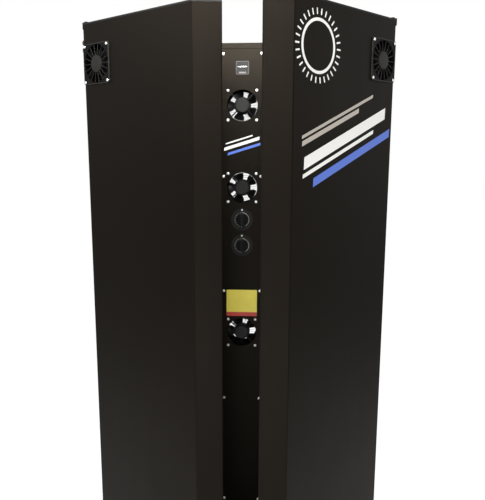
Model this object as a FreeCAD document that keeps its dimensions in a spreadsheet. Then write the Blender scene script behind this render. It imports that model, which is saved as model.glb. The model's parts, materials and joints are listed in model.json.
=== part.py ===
import FreeCAD, Part

import math
import os
import types

import Sketcher

# Vertical tanning booth: two fixed lamp cabinets and a control column at the back, and two
# lamp doors at the front, each on a pivot at its outer corner. Millimetres, +Z up, front
# towards -Y. The origin is on the floor, under the middle of the booth as it stands.

SIZES = [
    # alias, value, meaning
    ("booth_height", 2100, "floor to the top of the cabinets"),
    ("cabinet_half_width", 470, "middle of the booth to the outer side of a cabinet"),
    ("skin", 1.5, "thickness of the folded sheet metal"),
    ("seam", 0.5, "play between two folded boxes that stand side by side"),
    ("overlap", 1, "how far joined or cutting shapes run into each other"),
    # base
    ("foot_height", 20, "floor to the underside of the base"),
    ("foot_radius", 25, "radius of a levelling foot"),
    ("foot_pad", 10, "thickness of a levelling foot's pad"),
    ("foot_stem_radius", 5, "radius of a levelling foot's stem"),
    ("foot_inset", 40, "edge of the base to the middle of a foot"),
    ("base_height", 40, "height of the base tray"),
    ("base_wall", 3, "thickness of the base tray"),
    ("mat_thickness", 4, "thickness of the rubber floor mat"),
    ("mat_margin", 8, "bare edge round the floor mat"),
    # pivots
    ("pivot_side_inset", 7, "cabinet's outer side to a door's pivot"),
    ("pivot_y", -70, "a door's pivot, from front to back"),
    ("pivot_inset", 8, "a door's two outer faces to its pivot"),
    ("pin_radius", 4, "radius of a pivot pin"),
    ("pin_length", 24, "length of a pivot pin inside the door"),
    ("pin_play", 0.05, "radial play of a pin or shaft in its bore"),
    ("bush_radius", 6.2, "outer radius of a pivot bush"),
    ("collar_radius", 9, "radius of the collar under a door"),
    ("bracket_width", 14, "width of a top pivot bracket"),
    ("bracket_length", 90, "pivot to the end of a top pivot bracket"),
    ("bracket_thickness", 3, "thickness of a top pivot bracket"),
    ("leaf_offset", 12, "pivot to the inner face of a bracket's side leaf"),
    ("leaf_front", 7, "pivot to the front edge of a bracket's side leaf"),
    ("leaf_length", 34, "length of a bracket's side leaf"),
    ("leaf_drop", 17, "top of the booth to the lower edge of a bracket's side leaf"),
    ("jamb_gap", 4.5, "door's edge to the cabinet's jamb when shut"),
    # doors
    ("door_depth", 100, "thickness of a door"),
    ("door_slant", 31, "turn of a shut door's wide facet from the booth's front, degrees"),
    ("nose_facet", 79, "width of the bent facet at a door's free edge"),
    ("nose_bend", 45, "turn from the wide facet to the bent one, degrees"),
    ("meeting_gap", 4, "middle of the booth to a shut door's free end"),
    ("end_relief", 18.5, "turn of a shut door's free end from the booth's middle, degrees"),
    ("gasket_width", 24, "width of a rubber edge strip"),
    ("gasket_thickness", 2, "thickness of a rubber edge strip"),
    ("gasket_setback", 3, "fold at the free end to the rubber edge strip"),
    ("door_lift", 6, "base to the underside of a door"),
    ("door_drop", 1, "top of the cabinets to the top of a door"),
    ("bearing_gap", 0.3, "play between a door and its pivot collar"),
    ("left_door_open", 5.2, "how far the left door stands ajar, degrees"),
    ("right_door_open", 16.2, "how far the right door stands ajar, degrees"),
    # cabinets
    ("window_flange", 15, "width of the flange round a lamp window"),
    ("side_depth", 170, "pivot to the back edge of a cabinet's side"),
    ("rear_half_width", 140, "middle of the booth to a cabinet's back corner"),
    # lamp units
    ("shield_thickness", 3, "thickness of the clear lamp shield"),
    ("tray_depth", 54, "lamp window to the back of the reflector"),
    ("tray_margin", 4, "reflector's end to the end of its box"),
    ("lamp_radius", 19, "radius of a lamp"),
    ("lamp_wall", 1, "thickness of a lamp's glass"),
    ("lamp_cap", 12, "length of the solid cap at each end of a lamp"),
    ("lamp_length", 1760, "length of a lamp between its holders"),
    ("lamp_pitch", 42, "spacing of the lamps"),
    ("lamp_setback", 27, "lamp window to the middle of a lamp"),
    ("holder_width", 22, "width of a lamp holder"),
    ("holder_height", 16, "height of a lamp holder"),
    ("holder_reach", 12, "middle of a lamp to the front of its holder"),
    ("ballast_width", 60, "width of a ballast"),
    ("ballast_height", 180, "height of a ballast"),
    ("ballast_depth", 30, "depth of a ballast"),
    ("ballast_first", 300, "floor to the lowest ballast"),
    ("ballast_pitch", 300, "spacing of the ballasts"),
    # control column
    ("column_face", 291, "front face of the column, from front to back"),
    ("column_width", 160, "width of the column"),
    ("column_depth", 105, "depth of the column"),
    ("stile_flange", 18, "width of the column's inner flanges"),
    ("panel_bottom", 280, "floor to the lower edge of the front panel"),
    ("panel_seam", 1, "gap between the front panel and the lower plate"),
    ("rail_height", 20, "height of the column's top rail"),
    ("screw_row_drop", 36.6, "top of the booth to the first row of screws"),
    ("last_row_rise", 35.4, "lower edge of the panel to its last row of screws"),
    ("screw_row_width", 138.7, "spacing of the two screws in a row"),
    ("lower_screw_drop", 16, "top of the lower plate to its screws"),
    # fans
    ("fan_side", 119, "side of a fan's square frame"),
    ("fan_depth", 38, "depth of a fan's frame"),
    ("fan_corner_reach", 81.7, "middle of a fan to its rounded corner"),
    ("fan_bore_radius", 56.5, "radius of the air way through a fan"),
    ("fan_motor_radius", 25, "radius of a fan's motor cup"),
    ("fan_hub_radius", 31, "radius of a rotor's hub"),
    ("fan_motor_depth", 12, "depth of a fan's motor cup"),
    ("fan_shaft_radius", 3, "radius of a fan's shaft"),
    ("fan_shaft_length", 20, "length of a fan's shaft beyond the motor cup"),
    ("fan_strut_width", 4.5, "width of a fan's strut"),
    ("fan_strut_depth", 4, "depth of a fan's strut"),
    ("fan_hole_pitch", 104.8, "spacing of a fan's screw holes"),
    ("fan_running_gap", 0.5, "motor cup to the rotor's hub"),
    ("fan_hub_depth", 24, "depth of a rotor's hub"),
    ("blade_tip_radius", 53, "middle of the rotor to a blade's tip"),
    ("blade_chord", 34, "width of a blade"),
    ("blade_thickness", 2, "thickness of a blade"),
    ("blade_pitch", 35, "tilt of a blade, degrees"),
    ("air_hole_radius", 56, "radius of the air holes in the sheet metal"),
    ("upper_fan_drop", 216.8, "top of the booth to the upper body fan"),
    ("middle_fan_drop", 515.9, "top of the booth to the middle body fan"),
    ("lower_fan_drop", 1076.4, "top of the booth to the lower body fan"),
    ("door_fan_drop", 124.8, "top of the booth to a door's fan"),
    ("door_fan_inset", 61.5, "door's outer edge to the middle of its fan"),
    ("guard_depth", 4, "depth of a fan guard"),
    ("guard_hub_radius", 25, "radius of the disc in a fan guard"),
    ("spoke_width", 2.4, "width of a guard's spoke"),
    ("spoke_depth", 2.4, "depth of a guard's spoke"),
    # screws
    ("screw_radius", 2, "radius of a screw's shank"),
    ("screw_play", 0.2, "radial play of a screw in its hole"),
    ("panel_screw_head_radius", 5, "radius of a column screw's head"),
    ("panel_screw_head_height", 3.2, "height of a column screw's head"),
    ("guard_screw_head_radius", 4, "radius of a guard screw's head"),
    ("guard_screw_head_height", 2.6, "height of a guard screw's head"),
    ("panel_screw_length", 8, "length of a column screw's shank"),
    ("guard_screw_length", 12, "length of a guard screw's shank"),
    # hour meter
    ("meter_drop", 85.8, "top of the booth to the hour meter"),
    ("meter_side", 48, "side of the hour meter's bezel"),
    ("meter_bezel", 3, "thickness of the hour meter's bezel"),
    ("meter_barrel_radius", 22.4, "radius of the hour meter's barrel"),
    ("meter_barrel_length", 36, "length of the hour meter's barrel"),
    ("meter_window_rise", 4, "middle of the hour meter to the middle of its window"),
    ("meter_window_thickness", 1, "thickness of the hour meter's window"),
    ("drum_radius", 4.5, "radius of a number drum"),
    ("drum_pitch", 5.4, "spacing of the number drums"),
    ("drum_gap", 0.4, "gap between two number drums"),
    ("drum_margin", 1, "number drums to the wall of their recess"),
    ("fit", 0.1, "play of a fixed piece in its recess or hole"),
    # knobs
    ("upper_knob_drop", 635.8, "top of the booth to the upper knob"),
    ("lower_knob_drop", 733.8, "top of the booth to the lower knob"),
    ("dial_radius", 41, "radius of a knob's dial plate"),
    ("dial_thickness", 1, "thickness of a knob's dial plate"),
    ("knob_radius", 22, "radius of a knob's skirt"),
    ("knob_skirt", 5, "height of a knob's skirt"),
    ("knob_gap", 0.5, "dial plate to the knob"),
    ("grip_width", 11, "width of a knob's grip"),
    ("grip_length", 42, "length of a knob's grip"),
    ("grip_height", 13, "height of a knob's grip above its skirt"),
    ("knob_shaft_radius", 3, "radius of a knob's shaft"),
    ("knob_shaft_length", 24, "length of a knob's shaft behind the dial"),
    ("knob_hole_radius", 5, "radius of the panel's hole for a knob"),
    ("timer_side", 52, "side of a timer unit"),
    ("timer_depth", 34, "depth of a timer unit"),
    # plate, terminal box and glands
    ("plate_width", 118, "width of the information plate"),
    ("plate_height", 104, "height of the information plate"),
    ("plate_thickness", 1, "thickness of the information plate"),
    ("plate_drop", 906.8, "top of the booth to the plate's upper edge"),
    ("terminal_width", 110, "width of the terminal box"),
    ("terminal_height", 160, "height of the terminal box"),
    ("terminal_depth", 50, "depth of the terminal box"),
    ("terminal_bottom", 90, "floor to the underside of the terminal box"),
    ("gland_nut_radius", 11, "radius of a cable gland's nut"),
    ("gland_nut_depth", 5, "depth of a cable gland's nut"),
    ("gland_dome_radius", 9, "radius of a cable gland's dome"),
    ("gland_dome_depth", 12, "depth of a cable gland's dome"),
    ("gland_thread_radius", 8, "radius of a cable gland's thread"),
    ("gland_thread_length", 8, "length of a cable gland's thread"),
    ("side_gland_drop", 64, "top of the booth to the middle of the side glands"),
    ("side_gland_pitch", 23, "spacing of the two side glands"),
    ("side_gland_back", 22, "cabinet's front corner to the side glands"),
]

REAR_LAMPS = 10
DOOR_LAMPS = 10
BALLASTS = 5
BLADES = 5
SPOKES = 18
SCREW_ROWS = 5
DRUMS = 6
LEFT, RIGHT = -1, 1
SIDE_NAMES = {LEFT: "left", RIGHT: "right"}
QUARTER_TURN = 90
HALF_TURN = 180
FULL_TURN = 360

doc = FreeCAD.newDocument("tanning_booth")
nodes = []


# ---------------------------------------------------------------- sizes and expressions

class Size:
    """A number together with the expression in the document that gives it."""

    def __init__(self, value, text=None):
        self.value = float(value)
        self.text = text or f"({float(value)!r})"

    def __str__(self):
        return self.text

    def __add__(self, other):
        other = as_size(other)
        return Size(self.value + other.value, f"({self} + {other})")

    def __sub__(self, other):
        other = as_size(other)
        return Size(self.value - other.value, f"({self} - {other})")

    def __mul__(self, other):
        other = as_size(other)
        return Size(self.value * other.value, f"({self} * {other})")

    def __truediv__(self, other):
        other = as_size(other)
        return Size(self.value / other.value, f"({self} / {other})")

    def __neg__(self):
        return self * -1

    def __radd__(self, other):
        return as_size(other) + self

    def __rsub__(self, other):
        return as_size(other) - self

    def __rmul__(self, other):
        return as_size(other) * self


def as_size(number):
    return number if isinstance(number, Size) else Size(number)


def sine(angle):
    return Size(math.sin(math.radians(angle.value)), f"sin({angle})")


def cosine(angle):
    return Size(math.cos(math.radians(angle.value)), f"cos({angle})")


def direction(rise, run):
    """The angle, in degrees, of a line with this rise over this run."""
    return Size(math.degrees(math.atan2(rise.value, run.value)), f"(atan2({rise}; {run}) / 1 deg)")


def length(run, rise):
    return Size(math.hypot(run.value, rise.value), f"hypot({run}; {rise})")


def fill_sheet():
    """Put the driving dimensions in the spreadsheet, and give them back by name."""
    sheet = doc.addObject("Spreadsheet::Sheet", "Sizes")
    known = {}
    for row, (alias, value, meaning) in enumerate(SIZES, 1):
        sheet.set(f"A{row}", meaning)
        sheet.set(f"B{row}", str(value))
        sheet.setAlias(f"B{row}", alias)
        known[alias] = Size(value, f"Sizes.{alias}")
    doc.recompute()
    return types.SimpleNamespace(**known)


s = fill_sheet()
derived = doc.addObject("App::VarSet", "Derived")


def derive(name, size, meaning):
    """Keep a worked-out size in the document under a name of its own."""
    derived.addProperty("App::PropertyFloat", name, "Derived", meaning)
    derived.setExpression(name, str(size))
    return Size(size.value, f"Derived.{name}")


class Place:
    """A placement written as an expression. Places are chained with *."""

    def __init__(self, text):
        self.text = text

    def __mul__(self, other):
        return Place(f"{self.text} * {other.text}")


def move(x=0, y=0, z=0):
    return Place(f"placement(vector({x}; {y}; {z}); rotation(vector(0; 0; 1); 0))")


def turn_x(angle):
    return Place(f"placement(vector(0; 0; 0); rotation(vector(1; 0; 0); {angle}))")


def turn_z(angle):
    return Place(f"placement(vector(0; 0; 0); rotation(vector(0; 0; 1); {angle}))")


HERE = move()


# ---------------------------------------------------------------- modelling helpers

def bind(item, **sizes):
    for prop, size in sizes.items():
        item.setExpression(prop, str(size))
    return item


def set_place(item, place):
    item.setExpression("Placement", place.text)
    return item


def box(name, x_range, y_range, z_range, place=HERE):
    """A block between two values along each axis, in the frame of place."""
    item = doc.addObject("Part::Box", name)
    low = [pair[0] for pair in (x_range, y_range, z_range)]
    spans = [as_size(pair[1]) - pair[0] for pair in (x_range, y_range, z_range)]
    bind(item, Length=spans[0], Width=spans[1], Height=spans[2])
    return set_place(item, place * move(*low))


def centred_box(name, width, depth, z_range, place=HERE):
    return box(name, (-width / 2, width / 2), (-depth / 2, depth / 2), z_range, place)


def cylinder(name, radius, z_range, place=HERE):
    """A round bar along the Z axis of place."""
    item = doc.addObject("Part::Cylinder", name)
    bind(item, Radius=radius, Height=as_size(z_range[1]) - z_range[0])
    return set_place(item, place * move(0, 0, z_range[0]))


def pin_point(sketch, edge, end, point):
    """Fix a sketch point at its distances from the sketch's origin."""
    origin_edge, origin_end = -1, 1
    for kind, size in zip(("DistanceX", "DistanceY"), point):
        size = as_size(size)
        rule = Sketcher.Constraint(kind, origin_edge, origin_end, edge, end, size.value)
        index = sketch.addConstraint(rule)
        sketch.setExpression(f"Constraints[{index}]", str(size))


def draw_outline(sketch, points, closed=True):
    """Draw straight lines from point to point and constrain every corner."""
    start, end = 1, 2
    corners = [FreeCAD.Vector(as_size(x).value, as_size(y).value, 0) for x, y in points]
    ends = corners[1:] + corners[:1] if closed else corners[1:]
    for first, second in zip(corners, ends):
        sketch.addGeometry(Part.LineSegment(first, second), False)
    last = len(ends) - 1
    for edge in range(last):
        sketch.addConstraint(Sketcher.Constraint("Coincident", edge, end, edge + 1, start))
    if closed:
        sketch.addConstraint(Sketcher.Constraint("Coincident", last, end, 0, start))
    for edge in range(last + 1):
        pin_point(sketch, edge, start, points[edge])
    if not closed:
        pin_point(sketch, last, end, points[-1])


def prism(name, points, z_range, place=HERE):
    """An upright solid with the given plan outline."""
    body = doc.addObject("PartDesign::Body", name)
    sketch = body.newObject("Sketcher::SketchObject", f"{name}_plan")
    planes = [item for item in body.Origin.OriginFeatures if item.Role == "XY_Plane"]
    sketch.AttachmentSupport = [(planes[0], "")]
    sketch.MapMode = "FlatFace"
    draw_outline(sketch, points)
    pad = body.newObject("PartDesign::Pad", f"{name}_pad")
    pad.Profile = (sketch, [""])
    bind(pad, Length=as_size(z_range[1]) - z_range[0])
    return set_place(body, place * move(0, 0, z_range[0]))


def folded_sheet(name, points, thickness, z_range, place=HERE, closed=False):
    """Sheet metal folded along upright lines.

    Its thickness lies to the left of an open line, and inside a closed one.
    """
    line = doc.addObject("Sketcher::SketchObject", f"{name}_line")
    draw_outline(line, points, closed)
    strip = doc.addObject("Part::Offset2D", f"{name}_strip")
    strip.Source = line
    strip.Mode = "Pipe" if closed else "Skin"
    strip.Join = "Intersection"
    strip.Fill = True
    bind(strip, Value=-thickness)
    return extruded(name, strip, z_range, place)


def extruded(name, flat, z_range, place):
    item = doc.addObject("Part::Extrusion", name)
    item.Base = flat
    item.DirMode = "Custom"
    item.Dir = FreeCAD.Vector(0, 0, 1)
    item.Solid = True
    bind(item, LengthFwd=as_size(z_range[1]) - z_range[0])
    return set_place(item, place * move(0, 0, z_range[0]))


def group(name, items, place=HERE):
    """Several separate solids kept together."""
    item = doc.addObject("Part::Compound", name)
    item.Links = items
    return set_place(item, place)


def fuse(name, items, place=HERE):
    item = doc.addObject("Part::MultiFuse", name)
    item.Shapes = items
    return set_place(item, place)


def cut(name, base, tools, place=HERE):
    item = doc.addObject("Part::Cut", name)
    item.Base = base
    item.Tool = tools[0] if len(tools) == 1 else group(f"{name}_cutters", tools)
    return set_place(item, place)


def keep(name, item):
    """Make an item one of the booth's sub-parts, under its own name."""
    item.Label = name
    nodes.append(item)
    return item


def mirrored(points):
    """An outline's right half, given from front to back, and its mirror image."""
    return points + [(-as_size(x), y) for x, y in reversed(points)]


# ---------------------------------------------------------------- plan of the booth

def polar_point(angle, along, inward):
    """A door's own point as a booth point, for the right door at this angle.

    A door's own frame has its origin at the pivot. One axis runs along the wide facet
    towards the free edge, the other runs inwards, square to it.
    """
    x = pivot_x - cosine(angle) * along - sine(angle) * inward
    y = s.pivot_y - sine(angle) * along + cosine(angle) * inward
    return x, y


pivot_x = derive("pivot_x", s.cabinet_half_width - s.pivot_side_inset,
                 "middle of the booth to a door's pivot")
base_top = derive("base_top", s.foot_height + s.base_height, "top of the base tray")
door_bottom = derive("door_bottom", base_top + s.door_lift, "underside of a door")
door_top = derive("door_top", s.booth_height - s.door_drop, "top of a door")
column_back = derive("column_back", s.column_face + s.column_depth, "back of the column")

# The doors are shut when the ends of their bent facets meet in the middle of the booth,
# which settles how wide a door is. Its plan is given along and inward from its pivot.
outer_face = derive("outer_face", -s.pivot_inset, "door's outer face from its pivot")
inner_face = derive("inner_face", s.door_depth - s.pivot_inset, "door's inner face")
nose_inward = derive("nose_inward", outer_face + s.nose_facet * sine(s.nose_bend),
                     "outer end of the bent facet, inwards")
nose_along = derive("nose_along",
                    (pivot_x - s.meeting_gap - nose_inward * sine(s.door_slant))
                    / cosine(s.door_slant),
                    "outer end of the bent facet, along the door")
bend_along = derive("bend_along", nose_along - s.nose_facet * cosine(s.nose_bend),
                    "fold of the bent facet")
door_angle = {
    LEFT: derive("left_door_angle", s.door_slant + s.left_door_open, "left door at rest"),
    RIGHT: derive("right_door_angle", s.door_slant + s.right_door_open, "right door at rest"),
}
# The free ends fall back from the middle of the booth, so that only their folds meet.
end_lean = derive("end_lean", s.door_slant + s.end_relief,
                  "turn of the free end from square to the wide facet, degrees")
heel_along = derive("heel_along",
                    nose_along - (inner_face - nose_inward) * sine(end_lean) / cosine(end_lean),
                    "inner corner of the free end")

# A cabinet's plan, for the right side.
jamb_along = outer_face - s.jamb_gap
jamb_inner_x, jamb_inner_y = (
    derive(f"jamb_inner_{axis}", size, "inner corner of a cabinet's jamb")
    for axis, size in zip("xy", polar_point(s.door_slant, jamb_along, inner_face)))
jamb_outer_inward = ((pivot_x - cosine(s.door_slant) * jamb_along - s.cabinet_half_width)
                     / sine(s.door_slant))
jamb_outer_y = derive("jamb_outer_y", polar_point(s.door_slant, jamb_along, jamb_outer_inward)[1],
                      "outer corner of a cabinet's jamb")
side_back = derive("side_back", s.pivot_y + s.side_depth, "back edge of a cabinet's side")
column_side = derive("column_side", s.column_width / 2 + s.seam, "cabinet's wall at the column")
window_run = jamb_inner_x - column_side
window_rise = s.column_face - jamb_inner_y
window_length = derive("window_length", length(window_run, window_rise), "cabinet's lamp window")
window_angle = derive("window_angle", direction(window_rise, window_run), "slant of the window")


def door_frame(side):
    """Origin at the pivot, X along the wide facet (away from it on the left), Y inwards."""
    return move(side * pivot_x, s.pivot_y) * turn_z(side * door_angle[side])


def door_plan(side, points):
    """Points given along and inward, as X and Y of the door's frame."""
    return [(-side * as_size(along), inward) for along, inward in points]


def door_lamp_frame(side):
    """Origin in the middle of the door's inner face, Y outwards."""
    middle = (heel_along + outer_face) / 2
    return door_frame(side) * move(-side * middle, inner_face) * turn_z(HALF_TURN)


def cabinet_lamp_frame(side):
    """Origin in the middle of a cabinet's lamp window, Y outwards."""
    x = (jamb_inner_x + column_side) / 2
    y = (jamb_inner_y + s.column_face) / 2
    return move(side * x, y) * turn_z(-side * window_angle)


def facing_front(x, y, z):
    """Origin on an upright face, Z out of it towards the front, Y up."""
    return move(x, y, z) * turn_x(QUARTER_TURN)


def facing_back(x, y, z):
    """Origin on an upright face, Z towards the back, Y down."""
    return move(x, y, z) * turn_x(-QUARTER_TURN)


# ---------------------------------------------------------------- base

def shut_door_corner(along, inward):
    return polar_point(s.door_slant, along, inward)


def base_frame():
    corners = mirrored([
        shut_door_corner(bend_along, outer_face),
        (s.cabinet_half_width, s.pivot_y - s.pivot_inset),
        (s.cabinet_half_width, side_back),
        (s.rear_half_width, column_back),
    ])
    floor = prism("base_floor", corners, (base_top - s.base_wall, base_top))
    skirt = folded_sheet("base_skirt", corners, s.base_wall,
                         (s.foot_height, base_top - s.base_wall), closed=True)
    keep("base_frame", fuse("base", [floor, skirt]))


def levelling_feet():
    front_x, front_y = shut_door_corner(bend_along, outer_face)
    middles = [
        (front_x - s.foot_inset, front_y + s.foot_inset),
        (s.cabinet_half_width - s.foot_inset, s.pivot_y + s.foot_inset),
        (s.rear_half_width - s.foot_inset, column_back - s.foot_inset),
    ]
    feet = []
    for side in (LEFT, RIGHT):
        for index, (x, y) in enumerate(middles):
            name = f"{SIDE_NAMES[side]}_foot_{index}"
            place = move(side * x, y)
            pad = cylinder(f"{name}_pad", s.foot_radius, (0, s.foot_pad), place)
            stem = cylinder(f"{name}_stem", s.foot_stem_radius,
                            (0, base_top - s.base_wall), place)
            feet.append(fuse(name, [pad, stem]))
    keep("levelling_feet", group("feet", feet))


def floor_mat():
    corners = mirrored([
        shut_door_corner(heel_along, inner_face),
        (jamb_inner_x, jamb_inner_y),
        (column_side, s.column_face),
    ])
    line = doc.addObject("Sketcher::SketchObject", "mat_line")
    draw_outline(line, corners)
    edge = doc.addObject("Part::Offset2D", "mat_edge")
    edge.Source = line
    edge.Mode = "Pipe"
    edge.Join = "Intersection"
    bind(edge, Value=-s.mat_margin)
    keep("floor_mat", extruded("mat", edge, (base_top, base_top + s.mat_thickness), HERE))


# ---------------------------------------------------------------- lamp units

def lamp_unit(name, window, count, z_range, place):
    """Reflector tray, lamps, holders, shield and ballasts behind one lamp window.

    The frame has its origin in the middle of the window, with Y away from the cabin.
    Returns the pieces by kind, so that each can be kept under its own name.
    """
    bottom, top = z_range
    width = window - 2 * (s.skin + s.seam)
    shield_back = s.skin + s.shield_thickness
    reflector = s.tray_depth - s.skin
    span = (bottom + s.tray_margin, top - s.tray_margin)
    tray_line = [(width / 2, shield_back), (width / 2, s.tray_depth),
                 (-width / 2, s.tray_depth), (-width / 2, shield_back)]
    tray = folded_sheet(f"{name}_tray", tray_line, s.skin, span, place)
    shield = box(f"{name}_shield", (-width / 2, width / 2), (s.skin, shield_back), span, place)

    middle = (bottom + top) / 2
    lamp_span = (middle - s.lamp_length / 2, middle + s.lamp_length / 2)
    lamps, holders = [], []
    for index in range(count):
        x = (index - (count - 1) / 2) * s.lamp_pitch
        lamp_place = place * move(x, s.lamp_setback)
        glass = cylinder(f"{name}_lamp_{index}_outside", s.lamp_radius, lamp_span, lamp_place)
        hollow = cylinder(f"{name}_lamp_{index}_inside", s.lamp_radius - s.lamp_wall,
                          (lamp_span[0] + s.lamp_cap, lamp_span[1] - s.lamp_cap), lamp_place)
        lamps.append(cut(f"{name}_lamp_{index}", glass, [hollow]))
        x_range = (x - s.holder_width / 2, x + s.holder_width / 2)
        y_range = (s.lamp_setback - s.holder_reach, reflector)
        for end, z_pair in (("low", (lamp_span[0] - s.holder_height, lamp_span[0])),
                            ("high", (lamp_span[1], lamp_span[1] + s.holder_height))):
            holders.append(box(f"{name}_holder_{index}_{end}", x_range, y_range, z_pair, place))

    ballasts = []
    for index in range(BALLASTS):
        low = s.ballast_first + index * s.ballast_pitch
        ballasts.append(box(f"{name}_ballast_{index}",
                            (-s.ballast_width / 2, s.ballast_width / 2),
                            (s.tray_depth, s.tray_depth + s.ballast_depth),
                            (low, low + s.ballast_height), place))
    return types.SimpleNamespace(tray=tray, shield=shield, lamps=lamps, holders=holders,
                                 ballasts=ballasts)


# ---------------------------------------------------------------- cabinets

def cabinet_outline():
    """The right cabinet's plan, from its jamb round the outside to the column."""
    return [
        (jamb_inner_x, jamb_inner_y),
        (s.cabinet_half_width, jamb_outer_y),
        (s.cabinet_half_width, side_back),
        (s.rear_half_width, column_back),
        (column_side, column_back),
        (column_side, s.column_face),
    ]


def cabinet_skin(side, z_range):
    """A box folded round the lamp unit, open at the lamp window."""
    flange_x = s.window_flange * cosine(window_angle)
    flange_y = s.window_flange * sine(window_angle)
    line = ([(jamb_inner_x - flange_x, jamb_inner_y + flange_y)]
            + cabinet_outline()
            + [(column_side + flange_x, s.column_face - flange_y)])
    name = f"rear_skin_{SIDE_NAMES[side]}"
    points = [(side * as_size(x), y) for x, y in line]
    skin = folded_sheet(f"{name}_folded", points, side * s.skin, z_range)
    if side == LEFT:
        holes = [cylinder(f"{name}_gland_hole_{index}", s.gland_thread_radius + s.fit,
                          (-s.gland_thread_length, s.gland_thread_length), place)
                 for index, place in enumerate(side_gland_places())]
        skin = cut(f"{name}_bored", skin, holes)
    keep(name, skin)


def side_gland_places():
    """Places of the two cable glands on the left cabinet, Z out of its side."""
    for step in (-1, 1):
        z = s.booth_height - s.side_gland_drop + step * s.side_gland_pitch / 2
        yield (move(-s.cabinet_half_width, jamb_outer_y + s.side_gland_back, z)
               * turn_z(-QUARTER_TURN) * turn_x(QUARTER_TURN))


def cable_gland(name, place):
    """Thread, nut and dome, with the thread behind the face and the dome in front."""
    return fuse(name, [
        cylinder(f"{name}_thread", s.gland_thread_radius, (-s.gland_thread_length, 0), place),
        cylinder(f"{name}_nut", s.gland_nut_radius, (0, s.gland_nut_depth), place),
        cylinder(f"{name}_dome", s.gland_dome_radius,
                 (s.gland_nut_depth, s.gland_nut_depth + s.gland_dome_depth), place),
    ])


def cabinets():
    lid_bottom = s.booth_height - s.skin
    lids, lamps, holders, ballasts = [], [], [], []
    for side in (LEFT, RIGHT):
        word = SIDE_NAMES[side]
        cabinet_skin(side, (base_top, lid_bottom))
        lids.append(prism(f"cabinet_lid_{word}",
                          [(side * as_size(x), y) for x, y in cabinet_outline()],
                          (lid_bottom, s.booth_height)))
        unit = lamp_unit(f"cabinet_{word}", window_length, REAR_LAMPS, (base_top, lid_bottom),
                         cabinet_lamp_frame(side))
        keep(f"rear_lamp_tray_{word}", unit.tray)
        keep(f"rear_shield_{word}", unit.shield)
        lamps += unit.lamps
        holders += unit.holders
        ballasts += unit.ballasts
    keep("rear_lamps", group("rear_lamp_group", lamps))
    keep("rear_lamp_holders", group("rear_holder_group", holders))
    keep("rear_ballasts", group("rear_ballast_group", ballasts))
    keep("rear_top_caps", group("cabinet_lids", lids))


def side_leaf(side, word):
    """The folded leaf beside a top bracket, and the tab that joins it to the arm."""
    outer = s.leaf_offset + s.bracket_thickness
    y_range = (s.leaf_front, s.leaf_front + s.leaf_length)
    top = s.booth_height + s.bracket_thickness
    place = move(side * pivot_x, s.pivot_y)
    inner = s.bracket_width / 2 - s.overlap
    tab_x, leaf_x = [mirrored_range(side, x_pair)
                     for x_pair in ((inner, outer), (s.leaf_offset, outer))]
    return [box(f"{word}_leaf_tab", tab_x, y_range, (s.booth_height, top), place),
            box(f"{word}_leaf", leaf_x, y_range, (s.booth_height - s.leaf_drop, top), place)]


def mirrored_range(side, x_pair):
    """A range along X on the right, or its mirror image on the left."""
    low, high = x_pair
    return (low, high) if side == RIGHT else (-high, -low)


def pivots():
    """Top brackets with a pin that hangs into the door, and collars with a pin below it."""
    pieces = []
    for side in (LEFT, RIGHT):
        word = SIDE_NAMES[side]
        place = move(side * pivot_x, s.pivot_y)
        plate = (s.booth_height, s.booth_height + s.bracket_thickness)
        arm = box(f"{word}_bracket_arm", (-s.bracket_width / 2, s.bracket_width / 2),
                  (0, s.bracket_length), plate, place)
        eye = cylinder(f"{word}_bracket_eye", s.bracket_width / 2, plate, place)
        pin = cylinder(f"{word}_top_pin", s.pin_radius,
                       (door_top - s.pin_length, s.booth_height), place)
        pieces.append(fuse(f"{word}_top_bracket", [arm, eye, pin, *side_leaf(side, word)]))
        collar = cylinder(f"{word}_collar", s.collar_radius,
                          (base_top, door_bottom - s.bearing_gap), place)
        lower = cylinder(f"{word}_bottom_pin", s.pin_radius,
                         (base_top, door_bottom + s.pin_length), place)
        pieces.append(fuse(f"{word}_bottom_pivot", [collar, lower]))
    keep("door_pivots", group("pivot_group", pieces))


# ---------------------------------------------------------------- fans and screws

def screw_corners():
    half = s.fan_hole_pitch / 2
    return [(x, y) for x in (-half, half) for y in (-half, half)]


def fan_holes(name, z_range, place):
    """Cutters for a fan's air way and its four screws."""
    tools = [cylinder(f"{name}_air_way", s.air_hole_radius, z_range, place)]
    for index, (x, y) in enumerate(screw_corners()):
        tools.append(cylinder(f"{name}_screw_way_{index}", s.screw_radius + s.screw_play,
                              z_range, place * move(x, y)))
    return tools


def rounded_square(name, z_range):
    """A fan's square outline: its corners are trimmed by a round bar."""
    square = centred_box(f"{name}_square", s.fan_side, s.fan_side, z_range)
    trim = cylinder(f"{name}_trim", s.fan_corner_reach, z_range)
    item = doc.addObject("Part::Common", name)
    item.Base = square
    item.Tool = trim
    return item


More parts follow.
